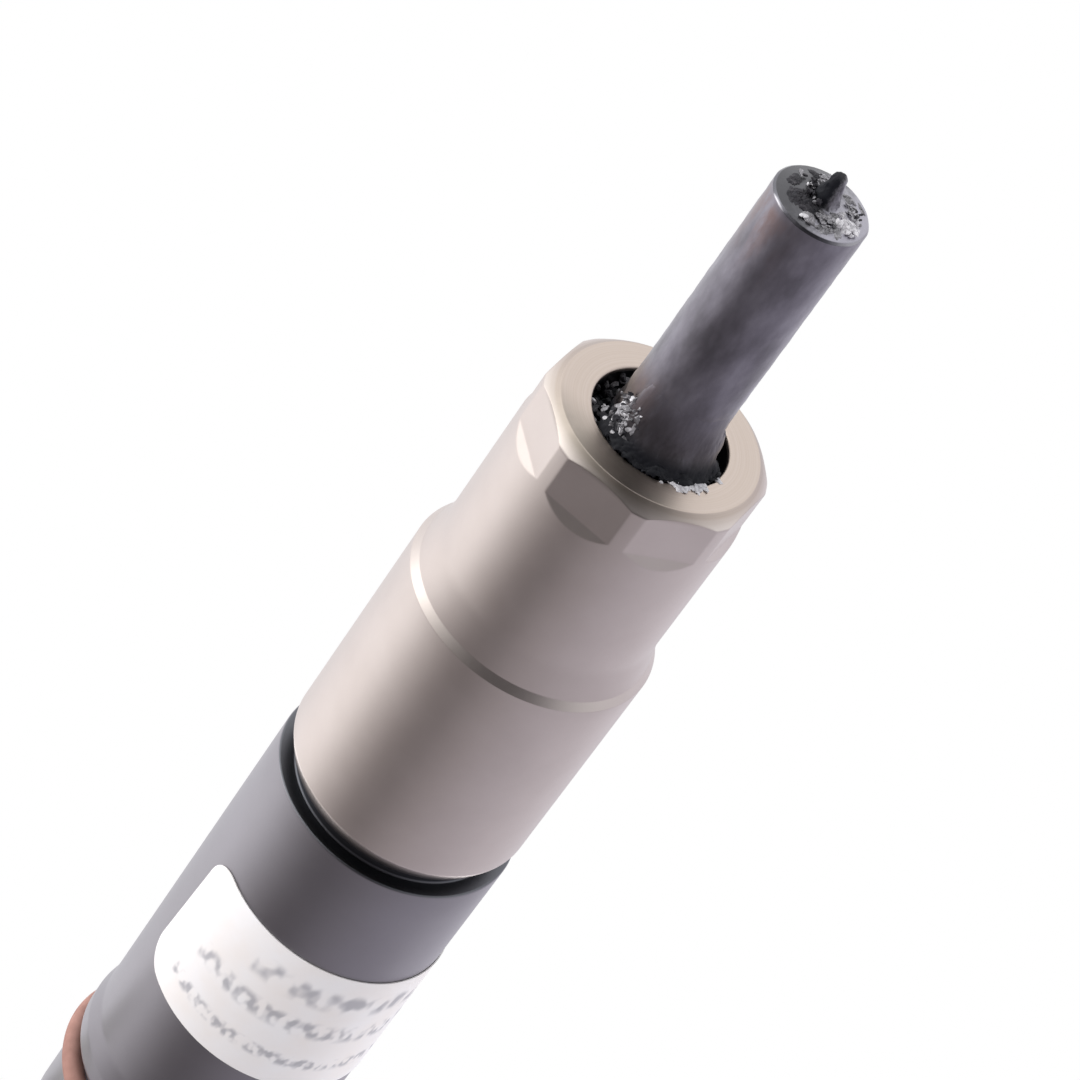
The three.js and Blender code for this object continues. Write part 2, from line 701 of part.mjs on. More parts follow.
function leakOffSpigot() {
  const groove = { low: 162.6, high: 164.6, r: SPIGOT_R - 0.8 };
  return ring(
    [
      [1.3, SPIGOT_LOW],
      [SPIGOT_SEAT_R, SPIGOT_LOW],
      [SPIGOT_SEAT_R, CAP_TOP],
      [4.4, CAP_TOP],
      [4.4, CAP_TOP + 1.4],
      [SPIGOT_R, CAP_TOP + 1.7],
      [SPIGOT_R, groove.low],
      [groove.r, groove.low],
      [groove.r, groove.high],
      [SPIGOT_R, groove.high],
      [SPIGOT_R, SPIGOT_TOP - 0.7],
      [SPIGOT_R - 0.7, SPIGOT_TOP],
      [1.3, SPIGOT_TOP],
    ],
    ROUND,
  );
}

add("connector_cap", connectorCap(), 0x1c1c1e, 0.5, 0.0);
add("terminal_left", terminal(-1, 0), 0xcaa24a, 0.3, 1.0);
add("terminal_right", terminal(1, 0), 0xcaa24a, 0.3, 1.0);
add("leak_off_spigot", leakOffSpigot(), 0xa9a498, 0.35, 0.9);
add("leak_off_seal_ring", sealRing(3.25, 1.5, 163.6, ROUND), 0x202022, 0.7, 0.0);

// ---- fuel inlet ---------------------------------------------------------------------------------

const FILTER_R = 2.2;
const FILTER_START_X = UNION_START_X + 0.5;
const FILTER_END_X = 25.5;

function inletUnion() {
  const profile = [
    [FILTER_R + 0.05, UNION_START_X],
    [UNION_THREAD_R - 0.4, UNION_START_X],
    [UNION_THREAD_R, UNION_START_X + 0.4],
    [UNION_THREAD_R, BOSS_X],
    [UNION_HEX_HALF + 3, BOSS_X],
    [UNION_HEX_HALF + 3, UNION_HEX_END_X],
    [STUD_R - 0.8, UNION_HEX_END_X],
    [STUD_R - 0.8, UNION_HEX_END_X + 1.4],
    [STUD_R, UNION_HEX_END_X + 2.0],
    [STUD_R, STUD_END_X - 0.8],
    [STUD_R - 0.8, STUD_END_X],
    [4.6, STUD_END_X],
    [1.3, STUD_END_X - 5.7],
    [1.3, FILTER_END_X],
    [FILTER_R + 0.05, FILTER_END_X],
  ];
  const hex = hexPrism(UNION_HEX_HALF, BOSS_X, UNION_HEX_END_X);
  const ends = bar(STUD_R + 0.1, UNION_START_X - 1, STUD_END_X + 1);
  return laidAlongX(ring(profile).intersect(hex.add(ends)), INLET_Z);
}

// A rod with two sets of flutes, one open to each end.
function edgeFilter() {
  let rod = bar(FILTER_R, FILTER_START_X, FILTER_END_X - 0.05, ROUND);
  for (let i = 0; i < 6; i++) {
    const open = i % 2 === 0;
    const low = open ? FILTER_START_X - 1 : FILTER_START_X + 1.5;
    const high = open ? FILTER_END_X - 1.5 : FILTER_END_X + 1;
    const flute = block([FILTER_R - 0.6, -0.35, low], [FILTER_R + 1, 0.35, high]);
    rod = rod.subtract(flute.rotate([0, 0, 60 * i]));
  }
  return laidAlongX(rod, INLET_Z);
}

add("inlet_union", inletUnion(), 0xb0aca2, 0.35, 0.9);
add("edge_filter", edgeFilter(), 0x9b9ea3, 0.4, 1.0);

export default part;
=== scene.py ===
"""A common-rail diesel fuel injector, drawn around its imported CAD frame. Lengths in this file are
millimetres unless a comment says otherwise, angles are degrees, and phi is measured from -Y towards +X."""

import json
import math
import random

import bmesh
import bpy
from mathutils import Matrix, Vector, noise


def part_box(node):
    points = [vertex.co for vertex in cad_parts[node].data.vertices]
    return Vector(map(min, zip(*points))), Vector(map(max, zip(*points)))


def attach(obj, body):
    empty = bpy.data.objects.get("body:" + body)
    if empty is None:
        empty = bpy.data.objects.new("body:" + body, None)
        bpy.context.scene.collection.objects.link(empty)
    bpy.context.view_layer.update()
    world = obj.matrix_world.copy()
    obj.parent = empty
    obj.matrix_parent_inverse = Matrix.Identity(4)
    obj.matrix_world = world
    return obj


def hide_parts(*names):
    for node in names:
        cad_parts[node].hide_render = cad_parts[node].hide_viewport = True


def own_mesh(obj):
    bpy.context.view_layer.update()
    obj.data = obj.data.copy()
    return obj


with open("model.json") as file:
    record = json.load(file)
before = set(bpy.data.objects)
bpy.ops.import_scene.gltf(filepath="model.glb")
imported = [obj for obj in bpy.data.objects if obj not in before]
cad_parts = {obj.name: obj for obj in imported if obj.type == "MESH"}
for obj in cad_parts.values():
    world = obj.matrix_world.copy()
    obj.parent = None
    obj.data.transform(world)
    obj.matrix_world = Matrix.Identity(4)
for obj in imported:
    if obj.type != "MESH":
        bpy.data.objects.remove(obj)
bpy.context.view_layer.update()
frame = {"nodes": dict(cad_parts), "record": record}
MM = 0.001
HOLDER = "holder"


def span(node):
    """(lowest corner, highest corner) of a CAD node in millimetres."""
    low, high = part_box(node)
    return low / MM, high / MM


# ---- sizes that the frame gives ----

NUT_HIGH = span("nozzle_retaining_nut")[1]
NOZZLE_LOW, NOZZLE_HIGH = span("nozzle_body")
BODY_LOW, BODY_HIGH = span("injector_body")
HOUSING_LOW, HOUSING_HIGH = span("solenoid_housing")
CAPNUT_LOW, CAPNUT_HIGH = span("solenoid_cap_nut")
CAP_LOW = span("connector_cap")[0]
SPIGOT_LOW, SPIGOT_HIGH = span("leak_off_spigot")
UNION_LOW, UNION_HIGH = span("inlet_union")

# ---- sizes that the design gives ----

SHANK_R = 3.5
TIP_Z = -22.0
TIP_DISH = 0.34
NOZZLE_SHOULDER_Z = 5.0
SEAT_OUTER_R = 7.5
NUT_HOLE_R = 5.15
NUT_NOSE_R = 8.5
NUT_R = NUT_HIGH.x
NOSE_CHAMFER_Z = 0.84
FLAT_COUNT = 8
FLAT_HALF_WIDTH = 8.05
FLAT_PHASE = 7.2
FLAT_END_Z = 4.2
FLAT_RUNOUT_Z = 5.0
FLARE_START_Z = 16.1
FLARE_END_Z = 19.3
THREAD_R = 8.2
HOLDER_THREAD_Z = (23.2, 38.8)
HOLDER_START_Z = 40.9
HOLDER_R = 9.55
SEAL_GROOVE_R = 8.3
SEAL_GROOVE_Z = (77.6, 80.6)
NECK_R = 8.6
SHOULDER_Z = (92.2, 98.6)
HEAD_R = 12.5
LEDGE_Z = 112.0
CLAMP_HALF_WIDTH = 9.6
HEAD_END_Z = 122.0
INLET_Z = 106.5
BOSS_R = 9.0
BOSS_X = 19.5
UNION_HALF_WIDTH = 9.0
UNION_THREAD_X = 28.0
HOUSING_STEP_Z = 134.2
COLLAR_R = 10.6
LABEL_LOW, LABEL_HIGH = 51.4, 64.9
LABEL_LENGTH = 28.0
LABEL_TILT = 4.3
LABEL_MIDDLE = math.radians(54.5) - LABEL_LENGTH / 2 / HOLDER_R
LABEL_R = HOLDER_R + 0.03
PRINT_ROWS = ((-3.8, 2.3, 1.2, 6.6), (-0.1, 1.9, 0.9, 10.4), (3.9, 1.3, 0.65, 11.1))


# ---- mesh helpers ----

def placed(name, data):
    """A new object in the scene."""
    made = bpy.data.objects.new(name, data)
    bpy.context.scene.collection.objects.link(made)
    return made


def mesh_of(name, vertices, faces):
    """A mesh from vertices in millimetres."""
    mesh = bpy.data.meshes.new(name)
    mesh.from_pydata([tuple(float(c) * MM for c in v) for v in vertices], [], faces)
    mesh.update()
    return mesh


def piece(name, vertices, faces, slot, replaces=(), crease=32.0, material=None):
    """A finished mesh piece that rides on the holder, with its slot's material unless another is given.
    Vertices are in millimetres."""
    mesh = mesh_of(name, vertices, faces)
    made = placed(name, mesh)
    mesh.materials.append(material or MATERIALS[slot])
    mesh.shade_smooth()
    mesh.set_sharp_from_angle(angle=math.radians(crease))
    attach(made, HOLDER)
    if replaces:
        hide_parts(*replaces)
    return made


def rounded(points, steps=5):
    """An outline of (r, z) or (r, z, fillet) points, with an arc in place of each filleted corner."""
    out = []
    closed = tuple(points[0][:2]) == tuple(points[-1][:2])
    for i, point in enumerate(points):
        here = Vector(point[:2])
        radius = point[2] if len(point) > 2 else 0
        inner = 0 < i < len(points) - 1
        if not radius or not (inner or closed):
            out.append(tuple(here))
            continue
        before = Vector(points[i - 1][:2]) if i > 0 else Vector(points[-2][:2])
        after = Vector(points[i + 1][:2]) if i < len(points) - 1 else Vector(points[1][:2])
        back, ahead = (before - here).normalized(), (after - here).normalized()
        half = back.angle(ahead) / 2
        cut = min(radius / math.tan(half), (before - here).length * 0.49, (after - here).length * 0.49)
        radius = cut * math.tan(half)
        centre = here + (back + ahead).normalized() * (radius / math.sin(half))
        start, end = here + back * cut - centre, here + ahead * cut - centre
        turn = start.angle_signed(end)
        for k in range(steps + 1):
            angle = -turn * k / steps
            c, s = math.cos(angle), math.sin(angle)
            out.append((centre.x + start.x * c - start.y * s, centre.y + start.x * s + start.y * c))
    if closed:
        out[-1] = out[0]
    return out


def divided(outline, step, low=-1e9, high=1e9):
    """The outline with what lies between two heights cut to steps of at most a length."""
    cut = [outline[0]]
    for a, b in zip(outline, outline[1:]):
        shares = [(z - a[1]) / (b[1] - a[1]) for z in (low, high) if (z - a[1]) * (z - b[1]) < 0]
        cut += [(a[0] + (b[0] - a[0]) * t, a[1] + (b[1] - a[1]) * t) for t in sorted(shares)] + [b]
    out = [cut[0]]
    for a, b in zip(cut, cut[1:]):
        inside = low - 1e-6 <= min(a[1], b[1]) and max(a[1], b[1]) <= high + 1e-6
        count = max(1, math.ceil(math.dist(a, b) / step)) if inside else 1
        for k in range(1, count + 1):
            out.append((a[0] + (b[0] - a[0]) * k / count, a[1] + (b[1] - a[1]) * k / count))
    return out


def revolved(outline, columns=160, shape=None):
    """Vertices and faces of an outline turned about Z. It runs from axis to axis, or closes on itself.
    shape(phi in radians, r, z) may change each vertex's radius."""
    closed = math.dist(outline[0], outline[-1]) < 1e-9
    rows = outline[:-1] if closed else outline
    vertices, faces, starts = [], [], []
    for r, z in rows:
        starts.append(len(vertices))
        if r < 1e-6:
            vertices.append((0.0, 0.0, z))
            continue
        for j in range(columns):
            phi = 2 * math.pi * j / columns
            radius = shape(phi, r, z) if shape else r
            vertices.append((radius * math.sin(phi), -radius * math.cos(phi), z))
    pairs = list(zip(range(len(rows)), range(1, len(rows))))
    if closed:
        pairs.append((len(rows) - 1, 0))
    for a, b in pairs:
        pole_a, pole_b = rows[a][0] < 1e-6, rows[b][0] < 1e-6
        if pole_a and pole_b:
            continue
        for j in range(columns):
            k = (j + 1) % columns
            p, q = starts[a] + (0 if pole_a else j), starts[a] + (0 if pole_a else k)
            s, t = starts[b] + (0 if pole_b else j), starts[b] + (0 if pole_b else k)
            faces.append((p, q, s) if pole_b else (p, t, s) if pole_a else (p, q, t, s))
    return vertices, faces


def face_outwards(mesh):
    """Joins doubled points and turns a closed mesh's faces outwards."""
    solid = bmesh.new()
    solid.from_mesh(mesh)
    bmesh.ops.remove_doubles(solid, verts=solid.verts, dist=1e-6)
    bmesh.ops.recalc_face_normals(solid, faces=solid.faces)
    solid.to_mesh(mesh)
    solid.free()


def turned(name, outline, slot, replaces=(), columns=160, shape=None, crease=32.0, place=None):
    """A turned piece. place is a matrix in millimetres for a piece whose axis isn't the injector's."""
    vertices, faces = revolved(outline, columns, shape)
    if place is not None:
        vertices = [tuple(place @ Vector(v)) for v in vertices]
    return piece(name, vertices, faces, slot, replaces, crease)


def clamped(value):
    return min(1.0, max(0.0, value))


def softer_min(a, b, width):
    """The smaller of two lengths, blended over a width where they cross, as a worn edge is."""
    return min(a, b) - width * math.log1p(math.exp(-abs(a - b) / width))


def flats(phi, distance, count, phase):
    """The radius, towards phi, of a prism with count flats at a distance from the axis."""
    step = 2 * math.pi / count
    off = (phi - math.radians(phase) + step / 2) % step - step / 2
    return distance / math.cos(off)


def thread(phi, z, pitch, depth, low, high):
    """How far a thread cuts into its cylinder at phi and z. It fades over half a turn at both ends."""
    turn = (z / pitch - phi / (2 * math.pi)) % 1.0
    cut = clamped(abs(turn - 0.5) * 2.5 - 0.2)
    fade = clamped(min(z - low, high - z) / (pitch * 0.5))
    return depth * cut * fade


# ---- material helpers ----

def add_node(tree, kind, inputs=None, **settings):
    """A node with its settings, and with each input set or linked."""
    node = tree.nodes.new(kind)
    for key, value in settings.items():
        setattr(node, key, value)
    for key, value in (inputs or {}).items():
        if isinstance(value, bpy.types.NodeSocket):
            tree.links.new(value, node.inputs[key])
        else:
            node.inputs[key].default_value = value
    return node


class Recipe:
    """A node material with one Principled shader, built a node at a time."""

    def __init__(self, name, **settings):
        self.material = bpy.data.materials.new(name)
        self.material.use_nodes = True
        self.tree = self.material.node_tree
        self.tree.nodes.clear()
        self.shader = self.tree.nodes.new("ShaderNodeBsdfPrincipled")
        output = self.tree.nodes.new("ShaderNodeOutputMaterial")
        self.tree.links.new(self.shader.outputs[0], output.inputs[0])
        where = self.tree.nodes.new("ShaderNodeTexCoord")
        self.place = self.add("ShaderNodeVectorMath", {0: where.outputs["Object"], "Scale": 1 / MM},
                              operation="SCALE")
        self.set(**settings)

    def add(self, kind, inputs=None, output=0, **settings):
        return add_node(self.tree, kind, inputs, **settings).outputs[output]

    def set(self, **inputs):
        """Sets or links the shader's inputs. Underscores stand for spaces."""
        for key, value in inputs.items():
            socket = self.shader.inputs[key.replace("_", " ")]
            if isinstance(value, bpy.types.NodeSocket):
                self.tree.links.new(value, socket)
            else:
                socket.default_value = value

    def so_far(self, name):
        """What already drives one of the shader's inputs."""
        return self.shader.inputs[name].links[0].from_socket

    def stretched(self, x, y, z):
        return self.add("ShaderNodeVectorMath", {0: self.place, 1: (x, y, z)}, operation="MULTIPLY")

    def noise(self, scale, detail=3.0, rough=0.5, where=None):
        inputs = {"Vector": where or self.place, "Scale": scale, "Detail": detail, "Roughness": rough}
        return self.add("ShaderNodeTexNoise", inputs)

    def ramp(self, value, stops):
        node = add_node(self.tree, "ShaderNodeValToRGB", {0: value})
        while len(node.color_ramp.elements) < len(stops):
            node.color_ramp.elements.new(0.5)
        for element, (at, color) in zip(node.color_ramp.elements, stops):
            element.position = at
            element.color = (*color, 1)
        return node.outputs[0]

    def math(self, operation, a, b=0.0, c=0.0, clamp=False):
        return self.add("ShaderNodeMath", {0: a, 1: b, 2: c}, operation=operation, use_clamp=clamp)

    def between(self, value, low, high, out_low=0.0, out_high=1.0):
        inputs = {"Value": value, "From Min": low, "From Max": high, "To Min": out_low, "To Max": out_high}
        return self.add("ShaderNodeMapRange", inputs, interpolation_type="SMOOTHSTEP")

    def times(self, a, b):
        return self.math("MULTIPLY", a, b)

    def mix(self, factor, a, b):
        """Colour a, or b where the factor is 1."""
        a, b = [(*color, 1) if isinstance(color, tuple) else color for color in (a, b)]
        return self.add("ShaderNodeMix", {0: factor, 6: a, 7: b}, 2, data_type="RGBA")

    def axes(self):
        """The x, y and z of the place, in millimetres."""
        return add_node(self.tree, "ShaderNodeSeparateXYZ", {0: self.place}).outputs

    def from_axis(self, x, y):
        """The distance from the injector's axis."""
        return self.math("SQRT", self.math("MULTIPLY_ADD", x, x, self.times(y, y)))

    def rough(self, fine, low, high):
        """Makes the roughness follow a noise, from low to high."""
        self.set(Roughness=self.between(fine, 0.2, 0.8, low, high))

    def bump(self, height, distance, strength=1.0, below=None):
        """A bump of a height socket whose full range is a distance in millimetres."""
        inputs = {"Height": height, "Distance": distance * MM, "Strength": strength}
        if below is not None:
            inputs["Normal"] = below
        return self.add("ShaderNodeBump", inputs)


def metal(name, color, dark, roughness, lathe_lines, grain, blotch=0.25, spread=0.06):
    """Machined or plated steel: turned lines round the axis, a fine grain and slow changes of tone."""
    recipe = Recipe(name, Metallic=1.0)
    slow = recipe.noise(blotch, 4.0, 0.55)
    fine = recipe.noise(7.0, 3.0, 0.6)
    lines = recipe.noise(1.0, 2.0, 0.6, recipe.stretched(0.05, 0.05, 5.0))
    tone = recipe.ramp(slow, [(0.3, dark), (0.7, color)])
    recipe.set(Base_Color=tone)
    level = recipe.math("MULTIPLY_ADD", fine, spread * 2, roughness - spread)
    recipe.set(Roughness=recipe.math("MULTIPLY_ADD", slow, spread, level))
    ground = recipe.bump(fine, grain, 0.6)
    recipe.set(Normal=recipe.bump(lines, lathe_lines, 0.5, ground))
    return recipe


# ---- materials ----

def nut_steel():
    """Satin pewter-coloured steel with a creamy turned seat face. Painted shade darkens the seat face on its
    -Y side, the rear chamfer and the hole's edge.
    """
    recipe = metal("nut_steel", (0.82, 0.75, 0.70), (0.77, 0.70, 0.65), 0.32, 0.003, 0.004)
    x, y, z = recipe.axes()
    radius = recipe.from_axis(x, y)
    base = recipe.so_far("Base Color")
    on_face = recipe.between(z, 0.9, 0.05)
    outward = recipe.add("ShaderNodeCombineXYZ", {0: recipe.times(radius, 6.0)})
    rings = recipe.noise(1.0, 2.0, 0.6, outward)
    cream = recipe.ramp(rings, [(0.35, (0.55, 0.465, 0.40)), (0.7, (0.61, 0.53, 0.475))])
    patches = recipe.noise(0.35, 3.0, 0.5)
    # painted shade: the seat face is darkened towards grey-brown on its -Y side, broken up into blotches
    side = recipe.between(recipe.math("MULTIPLY_ADD", x, 0.25, recipe.times(y, -0.97)), 3.5, 7.4)
    near_side_shade = recipe.times(side, recipe.between(patches, 0.2, 0.6, 0.5, 1.0))
    cream = recipe.mix(recipe.times(near_side_shade, 0.8), cream, (0.30, 0.27, 0.23))
    # painted shade: the nut's rear chamfer, z 38.7 to 39.5, is painted dark grey where it mirrors the dark
    # holder
    rear_chamfer_shaded = recipe.mix(recipe.between(z, 38.7, 39.5), recipe.mix(on_face, base, cream), (0.34, 0.32, 0.32))
    # painted shade: the edge of the nut's hole is painted near-black and non-metallic
    hole_edge_shade = recipe.times(recipe.between(radius, 5.3, 5.18), recipe.between(z, 0.05, 0.4))
    recipe.set(Base_Color=recipe.mix(hole_edge_shade, rear_chamfer_shaded, (0.01, 0.011, 0.014)))
    recipe.set(Metallic=recipe.math("MULTIPLY_ADD", hole_edge_shade, -1.0, 1.0))
    below = recipe.so_far("Normal")
    recipe.set(Normal=recipe.bump(recipe.times(rings, on_face), 0.006, 0.6, below))
    return recipe.material


def heated_tone(recipe, x, z, steel):
    """Steel with brown tints near the tip and the root on the +X side, and soot that thickens to the nut."""
    streaks = recipe.noise(0.7, 4.0, 0.6, recipe.stretched(1.0, 1.0, 0.3))
    tip = recipe.times(recipe.between(z, TIP_Z + 7.0, TIP_Z + 1.5), recipe.between(z, TIP_Z, TIP_Z + 1.0))
    root = recipe.between(z, -6.0, -2.5)
    heat = recipe.times(recipe.math("ADD", tip, root, clamp=True), recipe.between(x, -0.5, 2.6))
    heat = recipe.times(heat, recipe.between(streaks, 0.38, 0.62))
    soot = recipe.times(recipe.between(streaks, 0.2, 0.55, 0.4, 1.0), recipe.between(z, -6.0, -1.0))
    return recipe.mix(soot, recipe.mix(heat, steel, (0.23, 0.16, 0.158)), (0.075, 0.066, 0.072))


def tip_tone(recipe, x):
    """Mottled burnt steel for the tip's face, paler towards -X."""
    mottle = recipe.noise(0.9, 6.0, 0.72)
    patchy = recipe.math("MULTIPLY_ADD", mottle, 4.5, recipe.times(x, -0.8))
    shades = [(0.0, (0.055, 0.055, 0.062)), (0.5, (0.13, 0.128, 0.142)), (1.0, (0.38, 0.37, 0.42))]
    return recipe.ramp(recipe.between(patchy, 0.6, 4.0), shades)


def rim_tone(recipe, x, y):
    """Grey for the tip's rim, with a painted glint in one direction and paler grey on the -X side."""
    # painted highlight: a narrow bright glint on the rim, facing phi near 43 degrees
    painted_glint = recipe.math("MULTIPLY_ADD", x, 0.68, recipe.times(y, -0.73))
    painted_glint = recipe.between(painted_glint, 3.36, 3.48)
    glint_and_paler_side = recipe.math("MAXIMUM", painted_glint, recipe.between(x, -1.5, -3.0, 0.0, 0.55))
    return recipe.mix(glint_and_paler_side, (0.12, 0.12, 0.14), (0.52, 0.51, 0.54))


def black_places(recipe, x, z, radius, fine):
    """1 where the nozzle is black: deep in the gap, inside the nut, and on one side of its sac."""
    gap = recipe.times(recipe.between(radius, 3.75, 4.5), recipe.between(z, -2.1, -0.5))
    gap = recipe.math("MAXIMUM", gap, recipe.between(z, -0.5, 0.3))
    sac = recipe.between(recipe.math("MULTIPLY_ADD", fine, 0.5, x), -0.15, 0.15)
    sac = recipe.times(sac, recipe.between(z, TIP_Z - 0.36, TIP_Z - 0.46))
    sac = recipe.times(sac, recipe.between(radius, 1.7, 1.15))
    return recipe.math("MAXIMUM", gap, sac)


def nozzle_steel():
    """Heat-darkened steel: tinted and sooty along the shank, burnt on the tip's face, with a paler rim that
    carries a painted glint.
    """
    recipe = Recipe("nozzle_steel")
    x, y, z = recipe.axes()
    radius = recipe.from_axis(x, y)
    slow = recipe.noise(0.5, 3.0, 0.55, recipe.stretched(1.0, 1.0, 0.45))
    fine = recipe.noise(5.0, 4.0, 0.65)
    shades = [(0.34, (0.15, 0.143, 0.17)), (0.5, (0.22, 0.21, 0.25)), (0.66, (0.30, 0.29, 0.34))]
    tone = heated_tone(recipe, x, z, recipe.ramp(slow, shades))
    tone = recipe.mix(recipe.between(z, TIP_Z + 0.05, TIP_Z - 0.05), tone, tip_tone(recipe, x))
    rim = recipe.between(radius, SHANK_R - 0.17, SHANK_R - 0.12)
    rim = recipe.times(rim, recipe.between(z, TIP_Z + 0.18, TIP_Z + 0.1))
    tone = recipe.mix(rim, tone, rim_tone(recipe, x, y))
    black = black_places(recipe, x, z, radius, fine)
    recipe.set(Base_Color=recipe.mix(black, tone, (0.006, 0.007, 0.011)))
    recipe.set(Metallic=recipe.math("MULTIPLY_ADD", black, -0.8, 0.9))
    recipe.set(Coat_Weight=recipe.math("MULTIPLY_ADD", black, -0.9, 0.9), Coat_Roughness=0.35)
    rough = recipe.math("MULTIPLY_ADD", black, 0.3, recipe.between(fine, 0.2, 0.8, 0.32, 0.46))
    recipe.set(Roughness=recipe.math("MULTIPLY_ADD", rim, -0.2, rough))
    recipe.set(Normal=recipe.bump(fine, 0.012, 0.6, recipe.bump(slow, 0.04, 0.4)))
    return recipe.material


def black_oxide():
    """Blackened steel: satin, bluish, with a fine grain, rubbed patches, and painted shade that turns the
    thread near-black below the holder's front edge.
    """
    light, dark = (0.385, 0.375, 0.405), (0.345, 0.335, 0.36)
    recipe = metal("black_oxide", light, dark, 0.36, 0.002, 0.005, 0.12, 0.05)
    base = recipe.so_far("Base Color")
    # painted shade: below the holder's front edge the steel is painted near-black and its coat thinned
    gap_shade = recipe.between(recipe.axes()[2], HOLDER_START_Z + 0.12, HOLDER_START_Z + 0.02)
    recipe.set(Base_Color=recipe.mix(gap_shade, base, (0.15, 0.155, 0.17)))
    recipe.set(Coat_Weight=recipe.math("MULTIPLY_ADD", gap_shade, -0.5, 0.5), Coat_Roughness=0.3)
    return recipe.material


def label_film():
    """White film with rows of blurred grey smudges in place of print."""
    recipe = Recipe("label_film", Roughness=0.42, Specular_IOR_Level=0.4)
    x, y, z = recipe.axes()
    tilt = math.radians(LABEL_TILT)
    phi = recipe.math("ARCTAN2", x, recipe.times(y, -1.0))
    along = recipe.times(recipe.math("SUBTRACT", phi, LABEL_MIDDLE), HOLDER_R)
    up = recipe.math("SUBTRACT", z, (LABEL_LOW + LABEL_HIGH) / 2)
    u = recipe.math("MULTIPLY_ADD", along, math.cos(tilt), recipe.times(up, -math.sin(tilt)))
    v = recipe.math("MULTIPLY_ADD", along, math.sin(tilt), recipe.times(up, math.cos(tilt)))
    ink = 0.0
    for row, height, spacing, left in PRINT_ROWS:
        across = recipe.times(u, 1 / spacing)
        down = recipe.times(v, 0.6 / spacing)
        flat = recipe.add("ShaderNodeCombineXYZ", {0: across, 1: down, 2: float(row)})
        marks = recipe.between(recipe.noise(1.1, 1.0, 0.4, flat), 0.40, 0.66)
        off = recipe.math("ABSOLUTE", recipe.math("SUBTRACT", v, row))
        band = recipe.between(off, height * 0.66, height * 0.2)
        inside = recipe.between(u, left, left - 0.5)
        inside = recipe.times(inside, recipe.between(u, -12.6, -12.0))
        ink = recipe.math("MULTIPLY_ADD", recipe.times(marks, band), inside, ink)
    film = recipe.ramp(recipe.noise(0.3, 3.0), [(0.3, (0.94, 0.90, 0.88)), (0.7, (0.96, 0.95, 0.96))])
    recipe.set(Base_Color=recipe.mix(recipe.times(ink, 0.75), film, (0.36, 0.36, 0.40)))
    recipe.set(Normal=recipe.bump(recipe.noise(1.5, 2.0), 0.01, 0.4))
    return recipe.material


def elastomer(name, color, dark):
    """Moulded rubber, matt, with a mottled tone."""
    recipe = Recipe(name, Specular_IOR_Level=0.35)
    fine = recipe.noise(6.0, 4.0, 0.6)
    recipe.set(Base_Color=recipe.ramp(recipe.noise(0.8, 3.0), [(0.3, dark), (0.7, color)]))
    recipe.rough(fine, 0.5, 0.72)
    recipe.set(Normal=recipe.bump(fine, 0.01, 0.5))
    return recipe.material


def moulded_plastic(name, color, dark, grain=0.02):
    """Glass-filled nylon with a fine spark-eroded texture."""
    recipe = Recipe(name, Specular_IOR_Level=0.5)
    fine = recipe.noise(9.0, 3.0, 0.7)
    cells = recipe.add("ShaderNodeTexVoronoi", {"Vector": recipe.place, "Scale": 4.5})
    recipe.set(Base_Color=recipe.ramp(recipe.noise(0.4, 4.0), [(0.3, dark), (0.7, color)]))
    recipe.rough(fine, 0.42, 0.6)
    recipe.set(Normal=recipe.bump(fine, grain * 0.5, 0.5, recipe.bump(cells, grain, 0.35)))
    return recipe.material


def burnt_scale():
    """Grey scale baked onto the tip: between steel and ash, a little glossy."""
    recipe = Recipe("burnt_scale", Metallic=0.5, Coat_Weight=0.4, Coat_Roughness=0.3)
    fine = recipe.noise(7.0, 5.0, 0.7)
    shades = [(0.3, (0.07, 0.07, 0.075)), (0.5, (0.26, 0.255, 0.27)), (0.7, (0.56, 0.55, 0.58))]
    recipe.set(Base_Color=recipe.ramp(recipe.noise(1.7, 5.0, 0.65), shades))
    recipe.rough(fine, 0.3, 0.6)
    recipe.set(Normal=recipe.bump(fine, 0.03, 0.7))
    return recipe.material


def carbon():
    """Burnt-on soot: blue-black, rough and crumbly, with ashy grey patches."""
    recipe = Recipe("carbon", Specular_IOR_Level=0.5)
    coarse = recipe.noise(1.6, 6.0, 0.65)
    fine = recipe.noise(8.0, 5.0, 0.7)
    shades = [(0.35, (0.010, 0.011, 0.016)), (0.6, (0.045, 0.042, 0.05)), (0.78, (0.20, 0.19, 0.20))]
    recipe.set(Base_Color=recipe.ramp(coarse, shades))
    recipe.rough(fine, 0.45, 0.85)
    recipe.set(Normal=recipe.bump(fine, 0.06, 0.8, recipe.bump(coarse, 0.2, 0.8)))
    return recipe.material


def ash():
    """Pale flakes and crust of burnt fuel, white to steel grey."""
    recipe = Recipe("ash", Specular_IOR_Level=0.6)
    coarse = recipe.noise(1.8, 5.0, 0.6)
    fine = recipe.noise(9.0, 4.0, 0.7)
    shades = [(0.3, (0.34, 0.335, 0.36)), (0.45, (0.70, 0.69, 0.72)), (0.6, (0.93, 0.92, 0.95))]
    recipe.set(Base_Color=recipe.ramp(coarse, shades))
    recipe.rough(fine, 0.35, 0.7)
    recipe.set(Normal=recipe.bump(fine, 0.04, 0.7))
    return recipe.material


